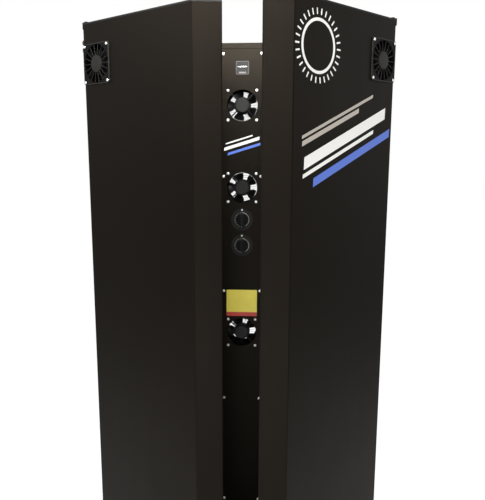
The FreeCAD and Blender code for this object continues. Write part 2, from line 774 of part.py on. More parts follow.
def fan_frame(name, place):
    """Square duct, four struts, motor cup and fixed shaft. Z runs into the duct."""
    duct = cut(f"{name}_duct", rounded_square(f"{name}_block", (0, s.fan_depth)),
               [cylinder(f"{name}_bore", s.fan_bore_radius, (0, s.fan_depth))])
    pieces = [
        duct,
        cylinder(f"{name}_motor_cup", s.fan_motor_radius, (0, s.fan_motor_depth)),
        cylinder(f"{name}_shaft", s.fan_shaft_radius,
                 (0, s.fan_motor_depth + s.fan_shaft_length)),
    ]
    for index in range(2):
        pieces.append(centred_box(f"{name}_strut_{index}", 2 * (s.fan_bore_radius + s.overlap),
                                  s.fan_strut_width, (0, s.fan_strut_depth),
                                  turn_z((index + 0.5) * QUARTER_TURN)))
    holes = [cylinder(f"{name}_hole_{index}", s.screw_radius + s.screw_play,
                      (0, s.fan_depth), move(x, y))
             for index, (x, y) in enumerate(screw_corners())]
    keep(name, cut(f"{name}_bored", fuse(f"{name}_whole", pieces), holes, place))


def fan_rotor(name, place):
    """A hub that turns on the frame's shaft, with tilted blades."""
    low = s.fan_motor_depth + s.fan_running_gap
    hub = cylinder(f"{name}_hub", s.fan_hub_radius, (low, low + s.fan_hub_depth))
    root = s.fan_hub_radius - s.blade_thickness
    blades = []
    for index in range(BLADES):
        blades.append(box(f"{name}_blade_{index}", (root, s.blade_tip_radius),
                          (-s.blade_chord / 2, s.blade_chord / 2),
                          (-s.blade_thickness / 2, s.blade_thickness / 2),
                          turn_z((index + 0.5) * FULL_TURN / BLADES)
                          * move(0, 0, low + s.fan_hub_depth / 2) * turn_x(s.blade_pitch)))
    bore = cylinder(f"{name}_bore", s.fan_shaft_radius + s.pin_play,
                    (low, low + s.fan_shaft_length))
    keep(name, cut(f"{name}_turned", fuse(f"{name}_whole", [hub] + blades), [bore], place))


def fan_guard(name, place):
    """A square rim with spokes that carry a disc. Z runs out of the guard's face."""
    rim = cut(f"{name}_rim", rounded_square(f"{name}_block", (0, s.guard_depth)),
              [cylinder(f"{name}_opening", s.air_hole_radius, (0, s.guard_depth))])
    pieces = [rim, cylinder(f"{name}_disc", s.guard_hub_radius, (0, s.guard_depth))]
    for index in range(SPOKES):
        pieces.append(box(f"{name}_spoke_{index}",
                          (s.guard_hub_radius - s.overlap, s.air_hole_radius + s.overlap),
                          (-s.spoke_width / 2, s.spoke_width / 2), (0, s.spoke_depth),
                          turn_z(index * FULL_TURN / SPOKES)))
    holes = [cylinder(f"{name}_hole_{index}", s.screw_radius + s.screw_play,
                      (0, s.guard_depth), move(x, y))
             for index, (x, y) in enumerate(screw_corners())]
    keep(name, cut(f"{name}_bored", fuse(f"{name}_whole", pieces), holes, place))


def screw(name, shank_length, head_radius, head_height, place):
    """A screw whose head rests on the face at the origin of place."""
    head = cylinder(f"{name}_head", head_radius, (0, head_height), place)
    shank = cylinder(f"{name}_shank", s.screw_radius, (-shank_length, 0), place)
    return fuse(name, [head, shank])


def panel_screw(name, place):
    return screw(name, s.panel_screw_length, s.panel_screw_head_radius,
                 s.panel_screw_head_height, place)


def guard_screw(name, place):
    return screw(name, s.guard_screw_length, s.guard_screw_head_radius,
                 s.guard_screw_head_height, place)


# ---------------------------------------------------------------- control column

FAN_DROPS = {"upper": s.upper_fan_drop, "middle": s.middle_fan_drop, "lower": s.lower_fan_drop}
KNOB_DROPS = {"upper": s.upper_knob_drop, "lower": s.lower_knob_drop}
DRUM_AXIS = turn_z(QUARTER_TURN) * turn_x(QUARTER_TURN)


def panel_screw_places():
    """Places of the screws that hold the column's front panel and lower plate."""
    first = s.booth_height - s.screw_row_drop
    last = s.panel_bottom + s.last_row_rise
    heights = [first + (last - first) * row / (SCREW_ROWS - 1) for row in range(SCREW_ROWS)]
    heights.append(s.panel_bottom - s.panel_seam - s.lower_screw_drop)
    for z in heights:
        for side in (LEFT, RIGHT):
            yield facing_front(side * s.screw_row_width / 2, s.column_face, z)


def column_face_place(drop):
    return facing_front(0, s.column_face, s.booth_height - drop)


def screw_ways(name, depth):
    return [cylinder(f"{name}_screw_way_{index}", s.screw_radius + s.screw_play,
                     (-depth, 0), place)
            for index, place in enumerate(panel_screw_places())]


def column_panels():
    half = s.column_width / 2
    face = (s.column_face, s.column_face + s.skin)
    top = s.booth_height - s.skin
    tools = screw_ways("panel", s.skin)
    for word, drop in FAN_DROPS.items():
        tools += fan_holes(f"panel_{word}_fan", (-s.skin, 0), column_face_place(drop))
    for word, drop in KNOB_DROPS.items():
        tools.append(cylinder(f"panel_{word}_knob_hole", s.knob_hole_radius, (-s.skin, 0),
                              column_face_place(drop)))
    tools.append(cylinder("panel_meter_hole", s.meter_barrel_radius + s.fit, (-s.skin, 0),
                          column_face_place(s.meter_drop)))
    blank = box("panel_blank", (-half, half), face, (s.panel_bottom, top))
    keep("column_front_panel", cut("panel", blank, tools))

    lower_blank = box("lower_blank", (-half, half), face,
                      (base_top, s.panel_bottom - s.panel_seam))
    keep("column_lower_plate", cut("lower_plate", lower_blank, screw_ways("lower", s.skin)))

    back = (column_back - s.skin, column_back)
    back_blank = box("back_blank", (-half, half), back, (base_top, top))
    back_tools = [cylinder(f"back_{word}_air_way", s.air_hole_radius, (-s.skin, s.skin),
                           facing_back(0, column_back - s.skin, s.booth_height - drop))
                  for word, drop in FAN_DROPS.items()]
    back_tools.append(cylinder("back_gland_way", s.gland_thread_radius + s.fit,
                               (-s.gland_thread_length, s.gland_thread_length),
                               mains_gland_place()))
    keep("column_rear_cover", cut("back_cover", back_blank, back_tools))


def column_stiles():
    """Two upright channels that carry the column's panels."""
    half = s.column_width / 2
    inner = half - s.stile_flange
    front, back = s.column_face + s.skin, column_back - s.skin
    stiles = []
    for side in (LEFT, RIGHT):
        name = f"stile_{SIDE_NAMES[side]}"
        line = [(side * as_size(x), y) for x, y in
                ((inner, front), (half, front), (half, back), (inner, back))]
        channel = folded_sheet(name, line, side * s.skin, (base_top, s.booth_height - s.skin))
        stiles.append(cut(f"{name}_bored", channel, screw_ways(name, 2 * s.skin)))
    keep("column_stiles", group("stile_group", stiles))


def column_top_rail():
    """A cap over the column, with a lip down the front of the panel."""
    half = s.column_width / 2
    front = s.column_face - s.skin
    top = box("rail_top", (-half, half), (front, column_back),
              (s.booth_height - s.skin, s.booth_height))
    lip = box("rail_lip", (-half, half), (front, s.column_face),
              (s.booth_height - s.rail_height, s.booth_height))
    keep("column_top_rail", fuse("top_rail", [top, lip]))


def body_fans():
    for word, drop in FAN_DROPS.items():
        place = facing_back(0, s.column_face + s.skin, s.booth_height - drop)
        fan_frame(f"body_fan_frame_{word}", place)
        fan_rotor(f"body_fan_rotor_{word}", place)


def column_screws():
    screws = [panel_screw(f"panel_screw_{index}", place)
              for index, place in enumerate(panel_screw_places())]
    for word, drop in FAN_DROPS.items():
        for index, (x, y) in enumerate(screw_corners()):
            screws.append(panel_screw(f"{word}_fan_screw_{index}",
                                      column_face_place(drop) * move(x, y)))
    keep("column_screws", group("column_screw_group", screws))


def hour_meter():
    place = column_face_place(s.meter_drop)
    window_place = place * move(0, s.meter_window_rise)
    window_low = s.meter_bezel - 2 * s.meter_window_thickness
    whole = fuse("meter_whole", [
        centred_box("meter_bezel_block", s.meter_side, s.meter_side, (0, s.meter_bezel)),
        cylinder("meter_barrel", s.meter_barrel_radius, (-s.meter_barrel_length, 0)),
    ])
    drum_axis_z = window_low - s.drum_radius - s.fit
    recess_width = DRUMS * s.drum_pitch + 2 * s.drum_margin
    recess_height = 2 * (s.drum_radius + s.drum_margin)
    recess = centred_box("meter_recess_block", recess_width, recess_height,
                         (drum_axis_z - s.drum_radius - s.fit, s.meter_bezel),
                         move(0, s.meter_window_rise))
    keep("hour_meter_case", cut("meter_case", whole, [recess], place))
    keep("hour_meter_window",
         centred_box("meter_window", recess_width - 2 * s.fit, recess_height - 2 * s.fit,
                     (window_low, window_low + s.meter_window_thickness), window_place))
    drums = []
    for index in range(DRUMS):
        low = (index - DRUMS / 2) * s.drum_pitch + s.drum_gap / 2
        drums.append(cylinder(f"drum_{index}", s.drum_radius,
                              (low, low + s.drum_pitch - s.drum_gap),
                              window_place * move(0, 0, drum_axis_z) * DRUM_AXIS))
    keep("hour_meter_drums", group("drum_group", drums))


def knobs():
    dials, timers = [], []
    for word, drop in KNOB_DROPS.items():
        place = column_face_place(drop)
        dials.append(cut(f"{word}_dial", cylinder(f"{word}_dial_disc", s.dial_radius,
                                                  (0, s.dial_thickness), place),
                         [cylinder(f"{word}_dial_hole", s.knob_hole_radius,
                                   (0, s.dial_thickness), place)]))
        low = s.dial_thickness + s.knob_gap
        high = low + s.knob_skirt
        keep(f"{word}_knob", fuse(f"{word}_knob_whole", [
            cylinder(f"{word}_knob_skirt", s.knob_radius, (low, high)),
            centred_box(f"{word}_knob_grip", s.grip_width, s.grip_length,
                        (low, high + s.grip_height)),
            cylinder(f"{word}_knob_shaft", s.knob_shaft_radius, (-s.knob_shaft_length, low)),
        ], place))
        box_part = centred_box(f"{word}_timer_box", s.timer_side, s.timer_side,
                               (-s.timer_depth - s.skin, -s.skin))
        boss = cylinder(f"{word}_timer_boss", s.knob_hole_radius - s.fit, (-s.skin, s.fit))
        bore = cylinder(f"{word}_timer_bore", s.knob_shaft_radius + s.pin_play,
                        (-s.knob_shaft_length - s.seam, s.fit))
        timers.append(cut(f"{word}_timer", fuse(f"{word}_timer_whole", [box_part, boss]),
                          [bore], place))
    keep("knob_dials", group("dial_group", dials))
    keep("timer_units", group("timer_group", timers))


def info_plate():
    top = s.booth_height - s.plate_drop
    keep("info_plate", box("plate", (-s.plate_width / 2, s.plate_width / 2),
                           (s.column_face - s.plate_thickness, s.column_face),
                           (top - s.plate_height, top)))


def mains_gland_place():
    return facing_back(0, column_back, s.terminal_bottom + s.terminal_height / 2)


def mains_inlet():
    """A terminal box behind the rear cover, and the cable glands of the booth."""
    back = column_back - s.skin
    block = box("terminal_block", (-s.terminal_width / 2, s.terminal_width / 2),
                (back - s.terminal_depth, back),
                (s.terminal_bottom, s.terminal_bottom + s.terminal_height))
    way = cylinder("terminal_way", s.gland_thread_radius + s.fit,
                   (-s.gland_thread_length - s.fit, 0), mains_gland_place())
    keep("terminal_box", cut("terminal", block, [way]))
    glands = [cable_gland(f"gland_{index}", place)
              for index, place in enumerate([mains_gland_place(), *side_gland_places()])]
    keep("cable_glands", group("gland_group", glands))


# ---------------------------------------------------------------- doors

def door_outline(side):
    return door_plan(side, [(outer_face, outer_face), (bend_along, outer_face),
                            (nose_along, nose_inward), (heel_along, inner_face),
                            (outer_face, inner_face)])


def door_skin(side, name, z_range):
    """One sheet folded round the door, with a flange at each side of the lamp window."""
    line = door_plan(side, [(heel_along - s.window_flange, inner_face),
                            (heel_along, inner_face), (nose_along, nose_inward),
                            (bend_along, outer_face), (outer_face, outer_face),
                            (outer_face, inner_face),
                            (outer_face + s.window_flange, inner_face)])
    folded = folded_sheet(f"{name}_folded", line, side * s.skin, z_range)
    holes = fan_holes(f"{name}_fan", (-s.skin, 0), door_fan_front(side))
    keep(name, cut(f"{name}_bored", folded, holes, door_frame(side)))


def door_fan_front(side):
    """Place of a door's fan in the door's frame, Z out of the wide facet."""
    along = outer_face + s.door_fan_inset
    return facing_front(-side * along, outer_face, s.booth_height - s.door_fan_drop)


def door_fan_back(side):
    """Place of a door's fan in the door's frame, Z into the door."""
    along = outer_face + s.door_fan_inset
    return facing_back(-side * along, outer_face + s.skin, s.booth_height - s.door_fan_drop)


def door_end_caps(side, name):
    """A lid at each end of the door, with a bush for the pivot pin."""
    caps = []
    for word, lid, bush in (
            ("bottom", (door_bottom, door_bottom + s.skin),
             (door_bottom, door_bottom + s.pin_length)),
            ("top", (door_top - s.skin, door_top), (door_top - s.pin_length, door_top))):
        plate = prism(f"{name}_{word}_lid", door_outline(side), lid)
        tube = cylinder(f"{name}_{word}_bush", s.bush_radius, bush)
        bore = cylinder(f"{name}_{word}_bore", s.pin_radius + s.pin_play,
                        (bush[0] - s.overlap, bush[1] + s.overlap))
        caps.append(cut(f"{name}_{word}", fuse(f"{name}_{word}_whole", [plate, tube]), [bore]))
    keep(name, group(f"{name}_group", caps, door_frame(side)))


def door_gasket(side, name, z_range):
    """A rubber strip down the door's free end."""
    lean = (-sine(end_lean), cosine(end_lean))
    out = (cosine(end_lean), sine(end_lean))
    start, end = s.gasket_setback, s.gasket_setback + s.gasket_width
    corners = []
    for along_face, off_face in ((start, 0), (end, 0), (end, s.gasket_thickness),
                                 (start, s.gasket_thickness)):
        corners.append((nose_along + lean[0] * along_face + out[0] * off_face,
                        nose_inward + lean[1] * along_face + out[1] * off_face))
    keep(name, prism(f"{name}_strip", door_plan(side, corners), z_range, door_frame(side)))


def doors():
    for side in (LEFT, RIGHT):
        word = f"{SIDE_NAMES[side]}_door"
        inside = (door_bottom + s.skin, door_top - s.skin)
        door_skin(side, f"{word}_skin", inside)
        door_end_caps(side, f"{word}_end_caps")
        door_gasket(side, f"{word}_gasket", inside)
        unit = lamp_unit(word, heel_along - outer_face, DOOR_LAMPS, inside,
                         door_lamp_frame(side))
        keep(f"{word}_lamp_tray", unit.tray)
        keep(f"{word}_shield", unit.shield)
        keep(f"{word}_lamps", group(f"{word}_lamp_group", unit.lamps))
        keep(f"{word}_lamp_holders", group(f"{word}_holder_group", unit.holders))
        keep(f"{word}_ballasts", group(f"{word}_ballast_group", unit.ballasts))
        fan_frame(f"{word}_fan_frame", door_frame(side) * door_fan_back(side))
        fan_rotor(f"{word}_fan_rotor", door_frame(side) * door_fan_back(side))
        front = door_frame(side) * door_fan_front(side)
        fan_guard(f"{word}_fan_guard", front)
        screws = [guard_screw(f"{word}_guard_screw_{index}", front * move(x, y, s.guard_depth))
                  for index, (x, y) in enumerate(screw_corners())]
        keep(f"{word}_fan_screws", group(f"{word}_screw_group", screws))


# ---------------------------------------------------------------- build and write

def check(items):
    """Stop if an object failed to build or a sub-part has no sound shape."""
    for item in doc.Objects:
        if "Invalid" in item.State or "Error" in item.State:
            raise RuntimeError(f"{item.Name}: {item.State}")
    for item in items:
        if item.Shape.isNull() or not item.Shape.isValid() or not item.Shape.Solids:
            raise RuntimeError(f"{item.Label} has no valid solid")


def main():
    base_frame()
    levelling_feet()
    floor_mat()
    cabinets()
    pivots()
    column_panels()
    column_stiles()
    column_top_rail()
    body_fans()
    column_screws()
    hour_meter()
    knobs()
    info_plate()
    mains_inlet()
    doors()
    doc.recompute()
    check(nodes)
    os.makedirs("parts", exist_ok=True)
    for item in nodes:
        item.Shape.exportStep(f"parts/{item.Label}.step")
    print(f"{len(nodes)} sub-parts written")


main()
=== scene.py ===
# %% [markdown]
# # Dressing a vertical tanning booth
# The booth comes as a frame of real sheets, lamps, fans and screws, each at its true size
# and place. This lesson gives every one of them its finish, and models again, in more
# detail, the pieces that plain solids show too plainly: folded sheets, fans, guards,
# screws, knobs and the hour meter.
#
# The first cell loads the frame. Nothing in it is moved: a node either gets a better
# finish, or is hidden behind a finer piece that stands for it.

# %% Load the frame
import json
import math

import bmesh
import bpy
from mathutils import Matrix, Vector


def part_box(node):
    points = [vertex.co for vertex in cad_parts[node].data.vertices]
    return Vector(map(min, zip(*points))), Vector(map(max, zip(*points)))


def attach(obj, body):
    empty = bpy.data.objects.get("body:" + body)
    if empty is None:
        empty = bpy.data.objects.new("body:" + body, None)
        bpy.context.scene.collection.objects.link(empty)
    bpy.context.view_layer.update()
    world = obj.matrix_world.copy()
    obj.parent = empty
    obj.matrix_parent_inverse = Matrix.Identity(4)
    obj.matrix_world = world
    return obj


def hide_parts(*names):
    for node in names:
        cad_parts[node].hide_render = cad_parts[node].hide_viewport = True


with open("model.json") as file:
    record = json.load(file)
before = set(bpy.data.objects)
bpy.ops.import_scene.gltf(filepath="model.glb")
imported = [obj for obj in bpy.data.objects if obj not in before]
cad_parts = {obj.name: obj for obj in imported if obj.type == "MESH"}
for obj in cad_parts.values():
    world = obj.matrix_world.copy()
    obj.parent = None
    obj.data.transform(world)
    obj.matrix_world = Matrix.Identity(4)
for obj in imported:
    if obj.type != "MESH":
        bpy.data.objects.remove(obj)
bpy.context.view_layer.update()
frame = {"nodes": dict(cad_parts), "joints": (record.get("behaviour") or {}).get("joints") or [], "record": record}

MM = 0.001
scene = bpy.context.scene
joints = {joint["name"]: joint for joint in frame["joints"]}

# %% [markdown]
# ## Camera
# The booth is seen from eye height and from just to the right of its middle. The camera
# looks a little down, and a small shift, as on a view camera, sets how the view is cut.

# %% Camera
EYE = (0.1088, -2.0458, 1.6904)
LENS = 44.56
SHIFT_RIGHT = 0.0227
SHIFT_UP = 0.0494
LOOK_DOWN = 10.6     # degrees under the level
LOOK_LEFT = 3.67     # degrees from straight ahead

camera_data = bpy.data.cameras.new("camera")
camera_data.lens = LENS
camera_data.shift_x = SHIFT_RIGHT
camera_data.shift_y = SHIFT_UP
camera = bpy.data.objects.new("camera", camera_data)
camera.location = EYE
camera.rotation_euler = (math.radians(90 - LOOK_DOWN), 0, math.radians(LOOK_LEFT))
scene.collection.objects.link(camera)
scene.camera = camera
scene.view_settings.view_transform = "Standard"
print("camera at", tuple(camera.location))

# %% [markdown]
# ## Shader maths as Python
# Every finish here is worked out by nodes, and none is painted. Wiring nodes by hand is
# long, so one small class wraps a socket: adding or multiplying two of them adds the Math
# node that does it, and `node` adds any other kind.

# %% A socket that Python can calculate with
class Wire:
    """A socket of a node tree, on which Python's operators add Math nodes."""

    def __init__(self, tree, socket=None):
        self.tree = tree
        self.socket = socket

    def node(self, kind, inputs=None, out=0, stops=(), **settings):
        """Add a node: its settings first, then the values or wires of its inputs."""
        made = self.tree.nodes.new(f"ShaderNode{kind}")
        for name, setting in settings.items():
            setattr(made, name, setting)
        for index, (position, colour) in enumerate(stops):
            ramp = made.color_ramp.elements
            element = ramp[index] if index < len(ramp) else ramp.new(position)
            element.position = position
            element.color = (*colour, 1)
        for key, value in (inputs or {}).items():
            if isinstance(value, Wire):
                self.tree.links.new(value.socket, made.inputs[key])
            else:
                made.inputs[key].default_value = value
        return Wire(self.tree, made.outputs[out] if made.outputs else None)

    def maths(self, operation, *values):
        inputs = dict(enumerate(values))
        return self.node("Math", inputs, operation=operation)

    def __add__(self, other):
        return self.maths("ADD", self, other)

    def __radd__(self, other):
        return self.maths("ADD", other, self)

    def __sub__(self, other):
        return self.maths("SUBTRACT", self, other)

    def __rsub__(self, other):
        return self.maths("SUBTRACT", other, self)

    def __mul__(self, other):
        return self.maths("MULTIPLY", self, other)

    def __rmul__(self, other):
        return self.maths("MULTIPLY", other, self)

    def __gt__(self, other):
        return self.maths("GREATER_THAN", self, other)

    def __lt__(self, other):
        return self.maths("LESS_THAN", self, other)

    def ramp(self, low, high):
        """0 below the low value, 1 above the high one, and smooth between them."""
        inputs = {"Value": self, "From Min": low, "From Max": high}
        return self.node("MapRange", inputs, interpolation_type="SMOOTHSTEP")

    def axis(self, name):
        """One coordinate of a vector."""
        return self.node("SeparateXYZ", {0: self}, out=name)

    def stretched(self, *scale):
        """The same place, measured on scaled axes."""
        return self.node("VectorMath", {0: self, 1: scale}, operation="MULTIPLY")

    def noise(self, size, detail=2.0):
        """Cloudy noise between 0 and 1, whose clouds are about this big, in metres."""
        return self.node("TexNoise", {"Vector": self, "Scale": 1 / size, "Detail": detail})

    def tint(self, first, second):
        """The first colour where this mask is 0, and the second where it is 1."""
        first, second = [item if isinstance(item, Wire) else (*item, 1)
                         for item in (first, second)]
        return self.node("Mix", {0: self, 6: first, 7: second}, out=2, data_type="RGBA")

# %% [markdown]
# ## Studio
# The booth stands on a pale floor in a white studio, which the camera sees as white, and
# so do clear plastic and the gloss of whatever faces the back of the room. The front of
# the room is darker, as seen in a gloss, and soft lamps stand there. One small lamp hangs
# over the open top and lights the control column inside.

# %% White room
ROOM_LIGHT = 0.75          # what the room gives to every surface
FRONT_GLOSS = 0.4          # how bright a gloss shows the front of the room
GLOSS_FADE = (-0.1, 0.5)   # from the front of the room to the back of it

world = bpy.data.worlds.new("studio")
scene.world = world
world.use_nodes = True
world.node_tree.nodes.clear()
air = Wire(world.node_tree)


def sees_room(wire):
    """1 for rays from the camera and through clear plastic, 0 for the rest."""
    camera_ray = wire.node("LightPath", out="Is Camera Ray")
    clear_ray = wire.node("LightPath", out="Is Transmission Ray")
    return wire.node("Clamp", {"Value": camera_ray + clear_ray})


direction = air.node("TexCoord", out="Generated")
behind = direction.axis("Y").ramp(*GLOSS_FADE)
mirrored_room = behind.tint((FRONT_GLOSS,) * 3, (1, 1, 1))
gloss_ray = air.node("LightPath", out="Is Glossy Ray")
lit_room = gloss_ray.tint((ROOM_LIGHT,) * 3, mirrored_room)
sky = sees_room(air).tint(lit_room, (1, 1, 1))
air.node("OutputWorld", {"Surface": air.node("Background", {"Color": sky})})
print("room light", ROOM_LIGHT)

# %% Soft lamps
# Each lamp has its place, the point that it faces, its width, its height and its watts.
SOFT_LAMPS = {
    "lamp_over_cabin": ((0.0, -0.45, 2.4), (0.0, 0.29, 2.1), 0.4, 0.15, 14),
    "lamp_high": ((0.1, -2.9, 2.7), (0.0, 0.2, 1.9), 0.8, 0.5, 46),
    "lamp_low": ((0.0, -3.2, 0.4), (0.0, 0.0, 0.9), 0.8, 0.5, 17),
    "lamp_left": ((-3.0, -1.6, 3.0), (-0.3, -0.1, 1.6), 1.0, 1.0, 42),
    "lamp_right": ((3.2, -0.1, 2.3), (0.3, -0.1, 1.7), 0.8, 0.8, 3),
}


def soft_lamp(name, place, aim, width, height, power):
    """A rectangular lamp that hangs at a place and faces its aim."""
    data = bpy.data.lights.new(name, "AREA")
    data.shape = "RECTANGLE"
    data.size = width
    data.size_y = height
    data.energy = power
    lamp = bpy.data.objects.new(name, data)
    lamp.visible_camera = False
    lamp.location = place
    lamp.rotation_euler = (Vector(aim) - Vector(place)).to_track_quat("-Z", "Y").to_euler()
    scene.collection.objects.link(lamp)
    print("lamp", name, power, "W")


for name, settings in SOFT_LAMPS.items():
    soft_lamp(name, *settings)

# %% Floor
FLOOR_SIDE = 60
PAPER_GREY = (0.5, 0.5, 0.5, 1)
PAPER_GLOW = 0.62          # added to the lit paper, so that the camera sees white
FLOOR_GLOSS = 0.6          # how bright a gloss shows the floor near the booth
GLOSS_REACH = (4.0, 2.0)   # from here inwards the floor shows in a gloss, in metres

bpy.ops.object.select_all(action="DESELECT")
bpy.ops.mesh.primitive_plane_add(size=FLOOR_SIDE)
floor = bpy.context.object
floor.name = "floor"
paper = bpy.data.materials.new("pale_floor")
paper.use_nodes = True
paper_tree = Wire(paper.node_tree)
paper_shader = paper.node_tree.nodes["Principled BSDF"]
paper_shader.inputs["Base Color"].default_value = PAPER_GREY
paper_shader.inputs["Roughness"].default_value = 0.9
paper_shader.inputs["Emission Color"].default_value = (1, 1, 1, 1)
floor_place = paper_tree.node("TexCoord", out="Object")
distance = floor_place.node("VectorMath", {0: floor_place}, out="Value", operation="LENGTH")
floor_gloss = paper_tree.node("LightPath", out="Is Glossy Ray") * distance.ramp(*GLOSS_REACH)
glow = sees_room(paper_tree) * PAPER_GLOW + floor_gloss * FLOOR_GLOSS
paper.node_tree.links.new(glow.socket, paper_shader.inputs["Emission Strength"])
floor.data.materials.append(paper)
print("floor laid")

# %% [markdown]
# ## Finishes
# A finish is a base colour, a roughness, and the fine relief that catches the light. All
# of them read Object coordinates, which are metres on the booth itself, so the grain is
# as fine as the real one. What changes over a surface feeds only colour, roughness and
# the normal. Everything else is a plain number on the shader.

# %% A finish
def finish(name, colour, roughness, metallic=0.0, specular=0.5, **others):
    """A new material. Gives it back with its place on the booth and its shader."""
    material = bpy.data.materials.new(name)
    material.use_nodes = True
    shader = material.node_tree.nodes["Principled BSDF"]
    shader.inputs["Base Color"].default_value = (*colour, 1)
    shader.inputs["Roughness"].default_value = roughness
    shader.inputs["Metallic"].default_value = metallic
    shader.inputs["Specular IOR Level"].default_value = specular
    for key, value in others.items():
        shader.inputs[key.replace("_", " ")].default_value = value
    place = Wire(material.node_tree).node("TexCoord", out="Object")
    return material, place, shader


def feed(wire, shader, socket):
    wire.tree.links.new(wire.socket, shader.inputs[socket])


def emboss(height, shader, depth, strength=1.0):
    """Turn a height between 0 and 1 into relief of that depth, in metres."""
    inputs = {"Height": height, "Distance": depth, "Strength": strength}
    feed(height.node("Bump", inputs), shader, "Normal")

# %% [markdown]
# ### Black powder coat
# Powder is sprayed on bare steel and baked, and melts into a skin of tiny pebbles. Noise
# of less than a millimetre gives the pebbles, a wider noise makes the sheen uneven, and
# long faint smears show where hands and cloths have passed.

# %% Powder coat
COAT_SHEEN = (1.0, 0.85, 0.67, 1.0)     # a little warm, as on browned black paint


def powder_coat(name, light, dark, roughness, specular, pebble, depth):
    material, place, shader = finish(name, dark, roughness, specular=specular,
                                     Specular_Tint=COAT_SHEEN)
    cloud = place.noise(0.22, 3)
    smear = place.stretched(1, 1, 0.22).noise(0.06, 4)
    pebbles = place.noise(pebble, 1)
    grain = place.noise(pebble * 4, 2)
    shade = cloud * 0.5 + smear * 0.3 + pebbles * 0.5 - 0.15
    feed(shade.tint(dark, light), shader, "Base Color")
    feed(roughness - 0.12 + smear * 0.14 + pebbles * 0.1, shader, "Roughness")
    emboss(pebbles * 0.6 + grain * 0.4, shader, depth)
    return material


black_coat = powder_coat("black_powder_coat", (0.0047, 0.0034, 0.0023),
                         (0.0023, 0.0017, 0.0012), 0.45, 0.11, 0.0012, 0.00026)
column_coat = powder_coat("column_powder_coat", (0.004, 0.0033, 0.0025),
                          (0.002, 0.0016, 0.0012), 0.4, 0.12, 0.0018, 0.0005)
base_coat = powder_coat("base_coat", (0.02, 0.0195, 0.019),
                        (0.0095, 0.0093, 0.009), 0.55, 0.3, 0.0013, 0.0002)
print("coats:", black_coat.name, column_coat.name, base_coat.name)

# %% [markdown]
# ### Moulded plastic and rubber
# Moulded plastic copies the spark-eroded skin of its mould, a very fine matt grain.
# Rubber is duller and holds dust. One recipe does for all of them, with other numbers.

# %% Plastics and rubbers
def moulded(name, colour, roughness, specular=0.4, grain=0.0006, depth=0.00006, dust=0.25):
    material, place, shader = finish(name, colour, roughness, specular=specular)
    fine = place.noise(grain, 1)
    cloud = place.noise(0.03, 3)
    dusty = tuple(channel * 0.97 + 0.01 for channel in colour)
    feed((cloud * dust).tint(colour, dusty), shader, "Base Color")
    feed(roughness - 0.06 + cloud * 0.08 + fine * 0.05, shader, "Roughness")
    emboss(fine, shader, depth)
    return material


fan_plastic = moulded("black_plastic", (0.0037, 0.0034, 0.003), 0.42, 0.08)
duct_plastic = moulded("matt_duct", (0.003, 0.0029, 0.0027), 0.6, 0.0)
motor_plastic = moulded("motor_plastic", (0.0095, 0.009, 0.0085), 0.45, 0.22)
guard_plastic = moulded("guard_plastic", (0.0095, 0.0085, 0.0072), 0.45, 0.24)
# The guards' border is paler as a painted highlight along its raised edge.
border_highlight_plastic = moulded("border_painted_highlight", (0.02, 0.0185, 0.0165), 0.45, 0.3)
rotor_plastic = moulded("fan_rotor_plastic", (0.0035, 0.0033, 0.0031), 0.4, 0.12)
knob_plastic = moulded("knob_plastic", (0.0022, 0.0021, 0.002), 0.45, 0.08)
grip_plastic = moulded("knob_grip_plastic", (0.006, 0.0058, 0.0054), 0.45, 0.12)
dial_print = moulded("dial_plate", (0.0085, 0.008, 0.0072), 0.5, 0.16)
mark_print = moulded("dial_mark_print", (0.88, 0.87, 0.84), 0.55)
lamp_holder = moulded("lamp_holder_white", (0.75, 0.74, 0.71), 0.4)
grey_plastic = moulded("grey_plastic", (0.22, 0.225, 0.23), 0.45)
gland_plastic = moulded("gland_plastic", (0.012, 0.012, 0.012), 0.38)
edge_rubber = moulded("edge_rubber", (0.004, 0.0038, 0.0036), 0.6, 0.15, 0.0009, 0.0001)
foot_rubber = moulded("foot_rubber", (0.012, 0.012, 0.012), 0.7, 0.3, 0.001, 0.0001, 0.6)
drum_white = moulded("drum_print", (0.55, 0.53, 0.48), 0.45)
drum_ink = moulded("drum_digits", (0.012, 0.012, 0.013), 0.5)
blank_label = moulded("blank_label", (0.22, 0.2, 0.195), 0.5, dust=0.5)
vinyl_white = moulded("vinyl_white", (0.8, 0.79, 0.76), 0.42, dust=0.4)
vinyl_grey = moulded("vinyl_grey", (0.42, 0.38, 0.33), 0.42, dust=0.4)
vinyl_blue = moulded("vinyl_blue", (0.085, 0.16, 0.56), 0.42, dust=0.4)

# %% [markdown]
# ### Metals and glass
# Rolled aluminium has fine lines along the sheet, so its noise is stretched along the
# booth's height. Zinc shows pale and dark crystals. A lamp is white inside its glass,
# with a metal cap at each end, which the height along the booth picks out.

# %% Metals
def drawn_metal(name, light, dark, roughness, stretch=(1, 1, 0.02), metallic=1.0):
    material, place, shader = finish(name, light, roughness, metallic=metallic)
    lines = place.stretched(*stretch).noise(0.0011, 2)
    cloud = place.noise(0.05, 3)
    feed((lines * 0.6 + cloud * 0.4).tint(dark, light), shader, "Base Color")
    feed(roughness - 0.08 + lines * 0.1 + cloud * 0.08, shader, "Roughness")
    emboss(lines, shader, 0.00004)
    return material


reflector = drawn_metal("reflector", (0.86, 0.87, 0.88), (0.7, 0.71, 0.72), 0.24)
zinc = drawn_metal("zinc_plate", (0.66, 0.66, 0.67), (0.42, 0.42, 0.44), 0.38, (1, 1, 1))
# The screw metal is nearly white and half diffuse: bright plated metal, and a painted highlight for the glints on
# the domed heads.
bright_screw = drawn_metal("bright_screw", (0.96, 0.95, 0.93), (0.88, 0.87, 0.85), 0.3,
                           metallic=0.4)
guard_wire = drawn_metal("guard_wire", (0.8, 0.8, 0.79), (0.6, 0.6, 0.6), 0.3, (1, 1, 1))

